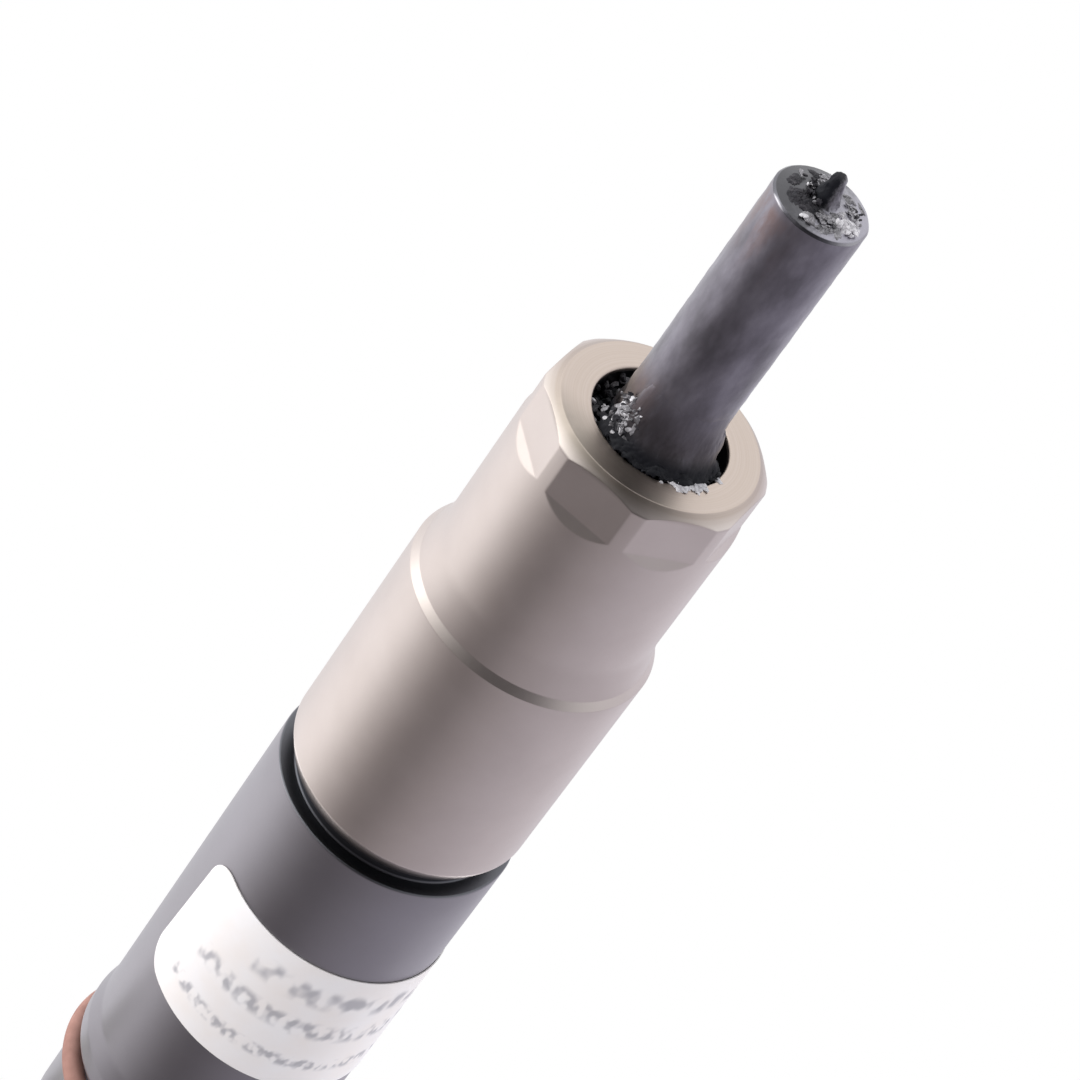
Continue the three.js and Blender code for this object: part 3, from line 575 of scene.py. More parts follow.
# light tone, dark tone, roughness, and the depths of the turned lines and of the grain
METALS = {
    "ground_steel": ((0.70, 0.71, 0.73), (0.60, 0.61, 0.63), 0.2, 0.001, 0.001),
    "spring_steel": ((0.42, 0.43, 0.46), (0.30, 0.31, 0.34), 0.32, 0.001, 0.003),
    "zinc_steel": ((0.72, 0.71, 0.68), (0.62, 0.61, 0.57), 0.34, 0.003, 0.004),
    "magnet_iron": ((0.36, 0.37, 0.39), (0.26, 0.27, 0.29), 0.5, 0.002, 0.01),
    "copper_wire": ((0.78, 0.36, 0.17), (0.62, 0.26, 0.12), 0.3, 0.02, 0.002),
    "terminal_metal": ((0.85, 0.66, 0.32), (0.74, 0.54, 0.24), 0.25, 0.001, 0.002),
}
MATERIALS = {name: metal(name, *values).material for name, values in METALS.items()}
MATERIALS |= {
    "nozzle_steel": nozzle_steel(),
    "nut_steel": nut_steel(),
    "black_oxide_steel": black_oxide(),
    "label_film": label_film(),
    "brown_elastomer": elastomer("brown_elastomer", (0.42, 0.23, 0.19), (0.32, 0.17, 0.14)),
    "black_elastomer": elastomer("black_elastomer", (0.035, 0.035, 0.04), (0.02, 0.02, 0.024)),
    "bobbin_plastic": moulded_plastic("bobbin_plastic", (0.72, 0.66, 0.48), (0.64, 0.58, 0.41)),
    "cap_plastic": moulded_plastic("cap_plastic", (0.030, 0.030, 0.033), (0.020, 0.020, 0.022), 0.03),
}
CARBON = carbon()
ASH = ash()
SCALE = burnt_scale()


# ---- nozzle ----

def make_nozzle():
    outline = rounded([
        (0, NOZZLE_LOW.z),
        (0.47, NOZZLE_LOW.z + 0.02, 0.42),
        (0.68, NOZZLE_LOW.z + 1.1, 0.8),
        (1.0, TIP_Z - 0.42, 0.3),
        (2.2, TIP_Z - TIP_DISH, 1.5),
        (SHANK_R - 0.17, TIP_Z - 0.06, 0.08),
        (SHANK_R, TIP_Z + 0.11, 0.08),
        (SHANK_R, -4.5, 6.0),
        (SHANK_R + 0.15, 0.6, 0.5),
        (SHANK_R + 0.15, NOZZLE_SHOULDER_Z),
        (NOZZLE_HIGH.x, NOZZLE_SHOULDER_Z, 0.3),
        (NOZZLE_HIGH.x, NOZZLE_HIGH.z, 0.3),
        (2.0, NOZZLE_HIGH.z),
        (2.0, 4.0),
        (0, 3.0),
    ], 8)
    outline = divided(divided(outline, 0.35, -30, 6), 0.14, -30, TIP_Z + 0.3)

    def worn(phi, r, z):
        if z > NOZZLE_SHOULDER_Z or r < 0.3:
            return r
        where = Vector(on_ring(math.degrees(phi), r, z))
        soot = clamped((z + 6.0) / 6.0)
        lumps = noise.fractal(where * 0.9, 1.0, 2.0, 4) * (0.025 + 0.14 * soot * soot)
        crumbs = noise.fractal(where * 1.9 + Vector((7, 3, 1)), 1.0, 2.0, 4)
        crust = crumbs * 0.07 if z < TIP_Z - 0.3 else 0.0
        return max(0.05, r + lumps + crust)

    turned("nozzle", outline, "nozzle_steel", ["nozzle_body"], columns=200, shape=worn, crease=50)


def band(start, count):
    """The faces between a ring of vertices and the next ring."""
    pairs = [(start + k, start + (k + 1) % count) for k in range(count)]
    return [(a, b, b + count, a + count) for a, b in pairs]


def joined(parts):
    """Several (vertices, faces) as one."""
    vertices, faces = [], []
    for some, corners in parts:
        offset = len(vertices)
        vertices += some
        faces += [tuple(i + offset for i in face) for face in corners]
    return vertices, faces


def on_ring(phi, radius, z):
    angle = math.radians(phi)
    return radius * math.sin(angle), -radius * math.cos(angle), z


def closed_share(phi):
    """How far soot fills the gap round the nozzle at an angle: 1 full, 0 open."""
    side = (phi + 180) % 360 - 180
    front = clamped((56 - side) / 22) * clamped((side + 89) / 9)
    return front * front * (3 - 2 * front)


def make_soot_ring():
    """Soot packed between the nozzle and the nut's hole. A full gap lets it climb the nozzle as a cone."""
    columns, rings = 420, 44
    inner, outer = SHANK_R - 0.5, NUT_HOLE_R + 0.1
    vertices, faces = [], []
    for i in range(rings):
        radius = inner + (outer - inner) * i / (rings - 1)
        share = max(0.0, (radius - SHANK_R) / (outer - SHANK_R))
        slope = -3.2 * (1 - share) ** 2.1 - 7.0 * max(0.0, SHANK_R - radius)
        for j in range(columns):
            phi = 360 * j / columns
            here = Vector(on_ring(phi, radius, slope))
            rough = noise.fractal(here * 0.8 + Vector((2, 5, 9)), 0.9, 2.1, 6)
            small = noise.fractal(here * 3.2, 0.8, 2.0, 4)
            full = closed_share(phi + 10 * noise.noise(here * 0.9))
            cone = slope + (0.08 + 0.20 * share) * rough + 0.06 * small
            pit = 2.2 + 0.8 * rough if (phi + 180) % 360 - 180 > 0 else 4.2
            z = full * cone + (1 - full) * pit
            limit = NUT_HOLE_R - 0.03 + 0.09 * small if z < 0.1 else NUT_HOLE_R + 0.05
            x, y, _ = on_ring(phi, min(radius, limit), 0)
            vertices.append((x, y, z))
    for i in range(rings - 1):
        for j in range(columns):
            k = (j + 1) % columns
            faces.append((i * columns + j, (i + 1) * columns + j, (i + 1) * columns + k, i * columns + k))
    made = piece("soot_ring", vertices, faces, "nozzle_steel", crease=70)
    thicken(made, 0.2)


def thicken(made, depth):
    """Gives an open sheet a back, so that it is a closed body."""
    shell = made.modifiers.new("shell", "SOLIDIFY")
    shell.thickness = depth * MM
    shell.offset = -1
    apply_modifiers(made)


def apply_modifiers(made):
    evaluated = made.evaluated_get(bpy.context.evaluated_depsgraph_get())
    mesh = bpy.data.meshes.new_from_object(evaluated)
    made.modifiers.clear()
    old = made.data
    made.data = mesh
    bpy.data.meshes.remove(old)


def plate(centre, size, thick, normal, draw):
    """Vertices and faces of one brittle flake: an irregular slab that lies across a normal."""
    count = draw.randint(6, 9)
    turn = Vector((0, 0, 1)).rotation_difference(Vector(normal)).to_matrix()
    turn = turn @ Matrix.Rotation(draw.uniform(0, math.pi), 3, "Z") @ Matrix.Diagonal((1.3, 0.75, 1.0))
    reach = [size * draw.uniform(0.6, 1.15) for _ in range(count)]
    vertices = []
    for level, shrink in ((-0.5, 1.0), (0.2, 0.97), (0.5, 0.78)):
        for k, r in enumerate(reach):
            angle = 2 * math.pi * k / count
            local = Vector((r * shrink * math.cos(angle), r * shrink * math.sin(angle), level * thick))
            local.z += draw.uniform(-0.12, 0.12) * thick
            vertices.append(tuple(Vector(centre) + turn @ local))
    faces = [tuple(reversed(range(count))), tuple(range(2 * count, 3 * count))]
    return vertices, faces + band(0, count) + band(count, count)


# x, y, the two half sizes, turn, height and tone of each patch of crust baked onto the tip's face
TIP_CRUST = (
    (2.35, 0.05, 0.80, 0.42, 80, 0.10, "dark"),
    (2.25, 1.15, 0.55, 0.16, 70, 0.12, "grey"),
    (1.05, -1.20, 1.00, 0.75, 20, 0.24, "dark"),
    (0.60, 2.00, 0.95, 0.60, 10, 0.14, "grey"),
    (0.20, 1.45, 0.45, 0.35, 40, 0.22, "grey"),
    (0.85, 0.60, 0.50, 0.30, 60, 0.30, "dark"),
    (0.15, -2.45, 0.62, 0.36, 20, 0.15, "grey"),
    (-0.55, -1.50, 0.62, 0.40, -30, 0.15, "grey"),
    (-1.10, -2.40, 0.70, 0.42, -35, 0.13, "grey"),
    (-2.15, -0.80, 0.78, 0.52, -70, 0.24, "pale"),
    (-1.62, -1.20, 0.52, 0.36, -50, 0.26, "pale"),
    (-2.75, -0.45, 0.42, 0.26, -80, 0.18, "pale"),
    (-1.45, -0.30, 0.34, 0.26, 30, 0.26, "pale"),
    (-1.90, 0.75, 0.62, 0.42, 60, 0.16, "grey"),
    (-2.25, 1.90, 0.55, 0.22, 50, 0.10, "grey"),
    (1.80, -1.45, 0.85, 0.45, 50, 0.07, "dark"),
    (-0.95, -0.75, 0.58, 0.36, 10, 0.16, "grey"),
    (-2.45, 0.35, 0.40, 0.22, 70, 0.14, "pale"),
    (-1.20, 1.75, 0.55, 0.38, 20, 0.12, "grey"),
    (0.55, -1.95, 0.62, 0.36, 0, 0.12, "dark"),
    (1.50, 1.95, 0.60, 0.36, 30, 0.10, "dark"),
    (-1.85, -2.00, 0.55, 0.30, 40, 0.10, "grey"),
)

# x, y, spread, count, smallest and largest size, thickness and tone of each heap of loose scale on the tip
TIP_SCALE = (
    (-2.20, -0.90, 0.34, 16, 0.10, 0.30, 0.12, "pale"),
    (-1.90, 0.55, 0.34, 16, 0.07, 0.18, 0.08, "grey"),
    (-2.05, 0.75, 0.30, 8, 0.07, 0.15, 0.08, "dark"),
    (-0.75, -2.05, 0.60, 18, 0.08, 0.26, 0.06, "grey"),
    (0.35, -2.65, 0.14, 3, 0.14, 0.24, 0.08, "pale"),
    (0.95, 0.40, 0.22, 6, 0.08, 0.18, 0.10, "pale"),
    (0.60, 1.90, 0.40, 14, 0.08, 0.22, 0.06, "grey"),
    (0.90, 0.90, 0.35, 10, 0.08, 0.20, 0.12, "dark"),
)


def tip_face(reach):
    """Height of the tip's face at a distance from the axis."""
    return TIP_Z - TIP_DISH + 0.28 * max(0.0, reach - 2.2)


def crust_patch(x, y, half_long, half_wide, turn, height):
    """Vertices and faces of one patch of crust: a low, lumpy mound with a ragged outline."""
    rings, spokes = 12, 60
    across, along = math.sin(math.radians(turn)), math.cos(math.radians(turn))
    vertices = [(x, y, tip_face(math.hypot(x, y)) - height)]
    for i in range(1, rings + 1):
        for j in range(spokes):
            angle = 2 * math.pi * j / spokes
            where = Vector((math.cos(angle) + x, math.sin(angle) + y, height * 9))
            share = i / rings * (1 + 0.45 * noise.noise(where * 1.3) + 0.22 * noise.noise(where * 4.5))
            u, v = share * half_long * math.cos(angle), share * half_wide * math.sin(angle)
            here = Vector((x + u * along - v * across, y + u * across + v * along, height))
            if here.xy.length > SHANK_R - 0.3:
                here.xy = here.xy.normalized() * (SHANK_R - 0.3)
            lump = noise.fractal(here * 2.6, 0.8, 2.1, 5)
            rise = height * (1 - (i / rings) ** 5) * (0.85 + 0.7 * lump)
            vertices.append((here.x, here.y, tip_face(here.xy.length) - rise + 0.04 * (i == rings)))
    faces = [(0, 1 + (j + 1) % spokes, 1 + j) for j in range(spokes)]
    for i in range(rings - 1):
        faces += band(1 + i * spokes, spokes)
    return vertices, faces


DOWN = (0, 0, -1)


class Heaps:
    """Loose plates and patches of crust, gathered by tone."""

    def __init__(self):
        self.draw = random.Random(11)
        self.parts = {"pale": [], "grey": [], "dark": []}

    def scatter(self, tone, where, smallest, largest, thick, normal, lean):
        tilted = Vector(normal) + Vector([self.draw.gauss(0, lean) for _ in range(3)])
        size = self.draw.uniform(smallest, largest)
        self.parts[tone].append(plate(where, size, thick, tilted, self.draw))


def repeated(**counts):
    """Each tone's name as many times as its count."""
    return [tone for tone, count in counts.items() for _ in range(count)]


def cover_tip(heaps):
    """Crust and loose scale on the tip's face."""
    draw = heaps.draw
    for *patch, tone in TIP_CRUST:
        heaps.parts[tone].append(crust_patch(*patch))
    for x, y, spread, count, smallest, largest, thick, tone in TIP_SCALE:
        for _ in range(count):
            at_x, at_y = draw.gauss(x, spread), draw.gauss(y, spread)
            reach = math.hypot(at_x, at_y)
            if 0.95 < reach < 3.1:
                z = tip_face(reach) - 0.12 - draw.uniform(0.3, 0.7) * thick
                heaps.scatter(tone, (at_x, at_y, z), smallest, largest, thick, DOWN, 0.07)


def fill_gap(heaps):
    """Foil-like flakes on one side of the gap, crumbs where it is open, and a pale crust on the other."""
    draw = heaps.draw
    for tone in repeated(pale=22, grey=84, dark=40):
        phi, climb = draw.gauss(36, 9), draw.uniform(0.0, 1.0)
        where = on_ring(phi, 4.75 - 1.0 * climb, -0.3 - 2.2 * climb + draw.gauss(0, 0.16))
        heaps.scatter(tone, where, 0.08, 0.36, draw.uniform(0.05, 0.12), on_ring(phi, 1.0, -0.9), 0.55)
    for tone in repeated(pale=5, grey=8, dark=26):
        where = on_ring(draw.uniform(60, 175), draw.uniform(4.0, 5.1), draw.uniform(0.6, 2.2))
        heaps.scatter(tone, where, 0.14, 0.46, 0.25, DOWN, 0.5)
    for tone in repeated(pale=70):
        where = on_ring(draw.gauss(-47, 9), draw.uniform(4.5, 5.6), -draw.uniform(0.0, 0.08))
        heaps.scatter(tone, where, 0.14, 0.40, 0.08, DOWN, 0.12)


def surround_sac(heaps):
    """Burnt crumbs that cling to one side of the sac."""
    draw = heaps.draw
    for tone in repeated(dark=40, grey=6):
        phi, radius, depth = draw.uniform(10, 150), draw.uniform(0.75, 1.35), draw.uniform(0.0, 0.5)
        heaps.scatter(tone, on_ring(phi, radius, TIP_Z - TIP_DISH - depth), 0.10, 0.26, 0.2, DOWN, 0.6)


def make_flakes():
    """Ash, scale and crumbs, as one piece for each tone."""
    heaps = Heaps()
    cover_tip(heaps)
    fill_gap(heaps)
    surround_sac(heaps)
    kinds = (("ash_flakes", "pale", ASH), ("grey_scale", "grey", SCALE), ("carbon_crumbs", "dark", CARBON))
    for name, tone, material in kinds:
        vertices, faces = joined(heaps.parts[tone])
        piece(name, vertices, faces, "nozzle_steel", crease=14, material=material)


# ---- retaining nut ----

def make_nut():
    run_slope = (NUT_NOSE_R - FLAT_HALF_WIDTH) / (FLAT_RUNOUT_Z - FLAT_END_Z)
    outline = rounded([
        (NUT_HOLE_R, NOZZLE_SHOULDER_Z),
        (NUT_HOLE_R, 0.0, 0.2),
        (SEAT_OUTER_R, 0.0, 0.12),
        (NUT_NOSE_R, NOSE_CHAMFER_Z, 0.25),
        (NUT_NOSE_R, FLARE_START_Z, 4.0),
        (NUT_R - 0.46, FLARE_END_Z - 0.78, 0.25),
        (NUT_R, FLARE_END_Z - 0.18, 0.12),
        (NUT_R, NUT_HIGH.z - 1.3, 0.7),
        (NUT_R - 0.62, NUT_HIGH.z, 0.25),
        (THREAD_R + 0.15, NUT_HIGH.z),
        (THREAD_R + 0.15, 21.4),
        (7.3, 20.6),
        (7.3, NOZZLE_SHOULDER_Z),
        (NUT_HOLE_R, NOZZLE_SHOULDER_Z),
    ], 6)
    outline = divided(divided(outline, 0.06, -1, 5.6), 1.2)

    def cut(phi, r, z):
        if r < SEAT_OUTER_R - 0.2 or z > 6:
            return r
        distance = FLAT_HALF_WIDTH + max(0.0, z - FLAT_END_Z) * run_slope
        return softer_min(r, flats(phi, distance, FLAT_COUNT, FLAT_PHASE), 0.012)

    turned("retaining_nut", outline, "nut_steel", ["nozzle_retaining_nut"], columns=720, shape=cut,
           crease=24)


# ---- holder ----

def make_holder_stem():
    """The black holder from its thread, hidden in the nut, up to the neck."""
    outline = rounded([
        (3.7, BODY_LOW.z),
        (7.1, BODY_LOW.z),
        (7.1, 21.7),
        (THREAD_R, 22.8),
        (THREAD_R, HOLDER_START_Z, 0.2),
        (HOLDER_R, HOLDER_START_Z, 0.2),
        (HOLDER_R, 73.6, 3.0),
        (9.9, 75.4, 1.5),
        (9.9, 77.0, 0.8),
        (HOLDER_R, SEAL_GROOVE_Z[0], 0.15),
        (SEAL_GROOVE_R, SEAL_GROOVE_Z[0], 0.2),
        (SEAL_GROOVE_R, SEAL_GROOVE_Z[1], 0.2),
        (HOLDER_R, SEAL_GROOVE_Z[1], 0.15),
        (HOLDER_R, 87.4, 0.5),
        (NECK_R, 88.6, 0.8),
        (NECK_R, SHOULDER_Z[0]),
        (3.7, SHOULDER_Z[0]),
        (3.7, BODY_LOW.z),
    ], 6)

    def threaded(phi, r, z):
        if HOLDER_THREAD_Z[0] < z < HOLDER_THREAD_Z[1] and r > 7:
            return r - thread(phi, z, 1.0, 0.45, *HOLDER_THREAD_Z)
        return r

    outline = divided(divided(outline, 0.12, 23, 39), 3.0)
    turned("holder_stem", outline, "black_oxide_steel", ["injector_body"], columns=192, shape=threaded,
           crease=28)


def cutter(vertices, faces):
    """A hidden helper solid for a boolean."""
    mesh = mesh_of("cutter", vertices, faces)
    face_outwards(mesh)
    return placed("cutter", mesh)


def combine(made, other, operation):
    """Joins or cuts a piece with a helper solid, which is then removed."""
    step = made.modifiers.new("combine", "BOOLEAN")
    step.operation = operation
    step.solver = "EXACT"
    step.object = other
    apply_modifiers(made)
    bpy.data.objects.remove(other)


def soften(made, width, angle=28.0):
    """Rounds a piece's sharp edges."""
    bevel = made.modifiers.new("edges", "BEVEL")
    bevel.width = width * MM
    bevel.segments = 3
    bevel.limit_method = "ANGLE"
    bevel.angle_limit = math.radians(angle)
    apply_modifiers(made)
    made.data.shade_smooth()
    made.data.set_sharp_from_angle(angle=math.radians(angle + 6))


def box_shape(low, high):
    """Vertices and faces of a box between two corners."""
    corners = [(x, y, z) for x in (low[0], high[0]) for y in (low[1], high[1]) for z in (low[2], high[2])]
    faces = [(0, 1, 3, 2), (4, 6, 7, 5), (0, 4, 5, 1), (2, 3, 7, 6), (0, 2, 6, 4), (1, 5, 7, 3)]
    return corners, faces


def combine_both_sides(made, x, y, z, operation):
    """Joins or cuts a box and its mirror image in Y. x, y and z are each a lowest and a highest value."""
    for low, high in ((-y[1], -y[0]), y):
        combine(made, cutter(*box_shape((x[0], low, z[0]), (x[1], high, z[1]))), operation)


ALONG_X = Matrix.Translation((0, 0, INLET_Z)) @ Matrix.Rotation(math.radians(90), 4, "Y")


def make_holder_head():
    """The black head: clamp flats with their ledges, the inlet boss and a plain stub for the cap nut."""
    outline = rounded([
        (0, SHOULDER_Z[0]),
        (NECK_R, SHOULDER_Z[0]),
        (HEAD_R, SHOULDER_Z[1], 1.5),
        (HEAD_R, HEAD_END_Z, 0.3),
        (11.9, HEAD_END_Z + 0.4, 0.1),
        (11.9, BODY_HIGH.z, 0.3),
        (0, BODY_HIGH.z),
    ])
    made = turned("holder_head", outline, "black_oxide_steel", ["injector_body"], columns=128)
    boss, faces = revolved(rounded([(0, 6.0), (BOSS_R, 6.0), (BOSS_R, BOSS_X, 0.5), (0, BOSS_X)]), 96)
    combine(made, cutter([tuple(ALONG_X @ Vector(v)) for v in boss], faces), "UNION")
    combine_both_sides(made, (-20, 20), (CLAMP_HALF_WIDTH, 20), (LEDGE_Z, HEAD_END_Z), "DIFFERENCE")
    soften(made, 0.25)


# ---- label ----

def on_label(u, v, lift):
    """A place on the label: u mm to the left and v mm up from its middle, lift mm off the holder."""
    tilt = math.radians(LABEL_TILT)
    along = u * math.cos(tilt) + v * math.sin(tilt)
    up = v * math.cos(tilt) - u * math.sin(tilt)
    phi = LABEL_MIDDLE + along / HOLDER_R
    radius = LABEL_R + lift
    return radius * math.sin(phi), -radius * math.cos(phi), (LABEL_LOW + LABEL_HIGH) / 2 + up


def rounded_rectangle(half_u, half_v, corner):
    """The outline of a rectangle with round corners."""
    points, steps = [], 8
    for cu, cv, start in ((1, 1, 0), (-1, 1, 90), (-1, -1, 180), (1, -1, 270)):
        for k in range(steps + 1):
            angle = math.radians(start + 90 * k / steps)
            points.append((cu * (half_u - corner) + corner * math.cos(angle),
                           cv * (half_v - corner) + corner * math.sin(angle)))
    return points


def make_label():
    """A thin film with round corners, as a closed body of strips that run from edge to edge."""
    columns, corner, thick = 120, 2.4, 0.09
    half_u, half_v = LABEL_LENGTH / 2, (LABEL_HIGH - LABEL_LOW) / 2
    vertices, faces = [], []
    for i in range(columns + 1):
        u = half_u * -math.cos(math.pi * i / columns)
        over = max(0.0, abs(u) - (half_u - corner))
        reach = half_v - corner + math.sqrt(max(corner ** 2 - over ** 2, 1e-6))
        vertices += [on_label(u, v, lift) for v in (-reach, reach) for lift in (0.0, thick)]
    for i in range(columns):
        a, b = i * 4, i * 4 + 4
        faces += [(a, b, b + 2, a + 2), (a + 1, a + 3, b + 3, b + 1)]
        faces += [(a, a + 1, b + 1, b), (a + 2, b + 2, b + 3, a + 3)]
    last = columns * 4
    faces += [(0, 2, 3, 1), (last, last + 1, last + 3, last + 2)]
    piece("label", vertices, faces, "label_film", ["type_label"], crease=40)


# ---- seals ----

def seal_ring(name, node, slot, columns=160):
    """A round-section ring that fills its CAD node's box, with a moulding line."""
    low, high = span(node)
    thick = high.z - low.z
    radius = high.x - thick / 2
    outline = [(radius + thick / 2 * math.cos(a), (low.z + high.z) / 2 + thick / 2 * math.sin(a))
               for a in [2 * math.pi * k / 24 for k in range(24)]]
    outline[0] = (outline[0][0] + 0.03, outline[0][1])
    turned(name, outline + outline[:1], slot, [node], columns=columns, crease=80)


# ---- solenoid head ----

def make_solenoid_housing():
    outline = rounded([
        (8.35, HOUSING_LOW.z),
        (HOUSING_HIGH.x, HOUSING_LOW.z, 0.2),
        (HOUSING_HIGH.x, HOUSING_STEP_Z, 0.2),
        (COLLAR_R, HOUSING_STEP_Z, 0.2),
        (COLLAR_R, HOUSING_HIGH.z, 0.25),
        (8.35, HOUSING_HIGH.z),
        (8.35, HOUSING_LOW.z),
    ])
    turned("solenoid_can", divided(outline, 2), "zinc_steel", ["solenoid_housing"])


def make_cap_nut():
    corner = CAPNUT_HIGH.x / math.cos(math.pi / 6)
    top_of_hex = CAPNUT_HIGH.z - 2.8
    outline = rounded([
        (12.05, CAPNUT_LOW.z),
        (CAPNUT_HIGH.x - 0.5, CAPNUT_LOW.z),
        (corner, CAPNUT_LOW.z + 1.35),
        (corner, top_of_hex - 1.35),
        (CAPNUT_HIGH.x - 0.8, top_of_hex, 0.15),
        (CAPNUT_HIGH.x - 0.8, CAPNUT_HIGH.z, 0.5),
        (10.75, CAPNUT_HIGH.z, 0.2),
        (10.75, HOUSING_STEP_Z),
        (12.05, HOUSING_STEP_Z),
        (12.05, CAPNUT_LOW.z),
    ])

    def hexagon(phi, r, z):
        if r < CAPNUT_HIGH.x - 0.9 or z > top_of_hex:
            return r
        return softer_min(r, flats(phi, CAPNUT_HIGH.x, 6, 90), 0.03)

    outline = divided(divided(outline, 0.15, CAPNUT_LOW.z - 1, top_of_hex + 0.01), 2.0)
    turned("cap_nut", outline, "zinc_steel", ["solenoid_cap_nut"], columns=360, shape=hexagon, crease=30)


def make_spigot():
    outline = rounded([
        (1.3, SPIGOT_LOW.z),
        (2.4, SPIGOT_LOW.z),
        (2.4, 157.0),
        (4.4, 157.0, 0.15),
        (4.4, 158.4, 0.3),
        (3.2, 158.7, 0.2),
        (3.2, 162.6, 0.15),
        (2.4, 162.6, 0.1),
        (2.4, 164.6, 0.1),
        (3.2, 164.6, 0.15),
        (3.2, SPIGOT_HIGH.z, 0.7),
        (1.3, SPIGOT_HIGH.z, 0.3),
        (1.3, SPIGOT_LOW.z),
    ])
    turned("leak_off_stub", divided(outline, 1.0), "zinc_steel", ["leak_off_spigot"])


def prism_along_x(outline, low, high):
    """Vertices and faces of a closed outline in Y and Z, extruded along X."""
    count = len(outline)
    vertices = [(low, y, z) for y, z in outline] + [(high, y, z) for y, z in outline]
    faces = [(i, i + count, (i + 1) % count + count, (i + 1) % count) for i in range(count)]
    faces += [tuple(range(count)), tuple(reversed(range(count, 2 * count)))]
    return vertices, faces


CAP_TOP_Z = 157.0
SOCKET_Z = 151.0
SOCKET_HALF_WIDTH, SOCKET_HALF_HEIGHT, SOCKET_WALL = 9.0, 6.0, 1.2
SOCKET_BACK = -17.5


def make_connector():
    """The black overmoulded cap with its plug socket, latch and side ribs."""
    outline = rounded([
        (0, CAP_LOW.z),
        (8.3, CAP_LOW.z, 0.2),
        (8.3, HOUSING_HIGH.z + 0.02),
        (COLLAR_R, HOUSING_HIGH.z + 0.02, 0.2),
        (COLLAR_R, CAP_TOP_Z, 1.5),
        (0, CAP_TOP_Z),
    ])
    made = turned("connector_shell", outline, "cap_plastic", ["connector_cap"], columns=96)
    outer = rounded_rectangle(SOCKET_HALF_WIDTH, SOCKET_HALF_HEIGHT - 0.05, 2.2)
    outer = [(y, SOCKET_Z + z) for y, z in outer]
    combine(made, cutter(*prism_along_x(outer, CAP_LOW.x, -4)), "UNION")
    latch = [(2, 5), (2, 6.5), (5.2, 7.5), (6, 7.5), (6, 5)]
    vertices = [(CAP_LOW.x + x, y, SOCKET_Z + z) for y in (-2.2, 2.2) for x, z in latch]
    combine(made, cutter(vertices, band(0, 5) + [(4, 3, 2, 1, 0), (5, 6, 7, 8, 9)]), "UNION")
    combine_both_sides(made, (CAP_LOW.x + 3, -9.6), (8.6, 10.2), (SOCKET_Z - 3.5, SOCKET_Z + 3.5), "UNION")
    inner = rounded_rectangle(SOCKET_HALF_WIDTH - SOCKET_WALL, SOCKET_HALF_HEIGHT - SOCKET_WALL, 1.4)
    inner = [(y, SOCKET_Z + z) for y, z in inner]
    combine(made, cutter(*prism_along_x(inner, CAP_LOW.x - 2, SOCKET_BACK)), "DIFFERENCE")
    bore, faces = revolved([(0, 148), (2.45, 148), (2.45, CAP_TOP_Z + 2), (0, CAP_TOP_Z + 2)], 48)
    combine(made, cutter(bore, faces), "DIFFERENCE")
    soften(made, 0.3, 30.0)


def make_terminals():
    for name in ("terminal_left", "terminal_right"):
        low, high = span(name)
        vertices, faces = box_shape(low, high)
        blade = name + "_blade"
        made = piece(blade, vertices, faces, "terminal_metal", [name])
        for v in made.data.vertices:
            if v.co.x < (low.x + 0.1) * MM:
                v.co.y += (0.5 if v.co.y < (low.y + high.y) / 2 * MM else -0.5) * MM
                v.co.z += (0.25 if v.co.z < (low.z + high.z) / 2 * MM else -0.25) * MM
        soften(made, 0.12, 20.0)


# ---- springs ----

def make_spring(name, node, mean_radius, wire, turns):
    """A coil spring with closed ends."""
    low, high = span(node)
    bottom, top = low.z + wire / 2, high.z - wire / 2
    flat = wire * 1.05
    end = 0.9 / turns
    spokes, steps = 16, turns * 48
    vertices, faces = [], []
    for i in range(steps + 1):
        t = i / steps
        z = bottom + flat + (top - bottom - 2 * flat) * (t - end) / (1 - 2 * end)
        if t < end:
            z = bottom + flat * t / end
        if t > 1 - end:
            z = top - flat * (1 - t) / end
        for j in range(spokes):
            around = 2 * math.pi * j / spokes
            x, y, _ = on_ring(360 * turns * t, mean_radius + wire / 2 * math.cos(around), 0)
            vertices.append((x, y, z + wire / 2 * math.sin(around)))
    for i in range(steps):
        faces += band(i * spokes, spokes)
    faces += [tuple(reversed(range(spokes))), tuple(range(steps * spokes, (steps + 1) * spokes))]
    made = piece(name, vertices, faces, "spring_steel", [node])
    face_outwards(made.data)
    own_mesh(made)


# ---- fuel inlet ----

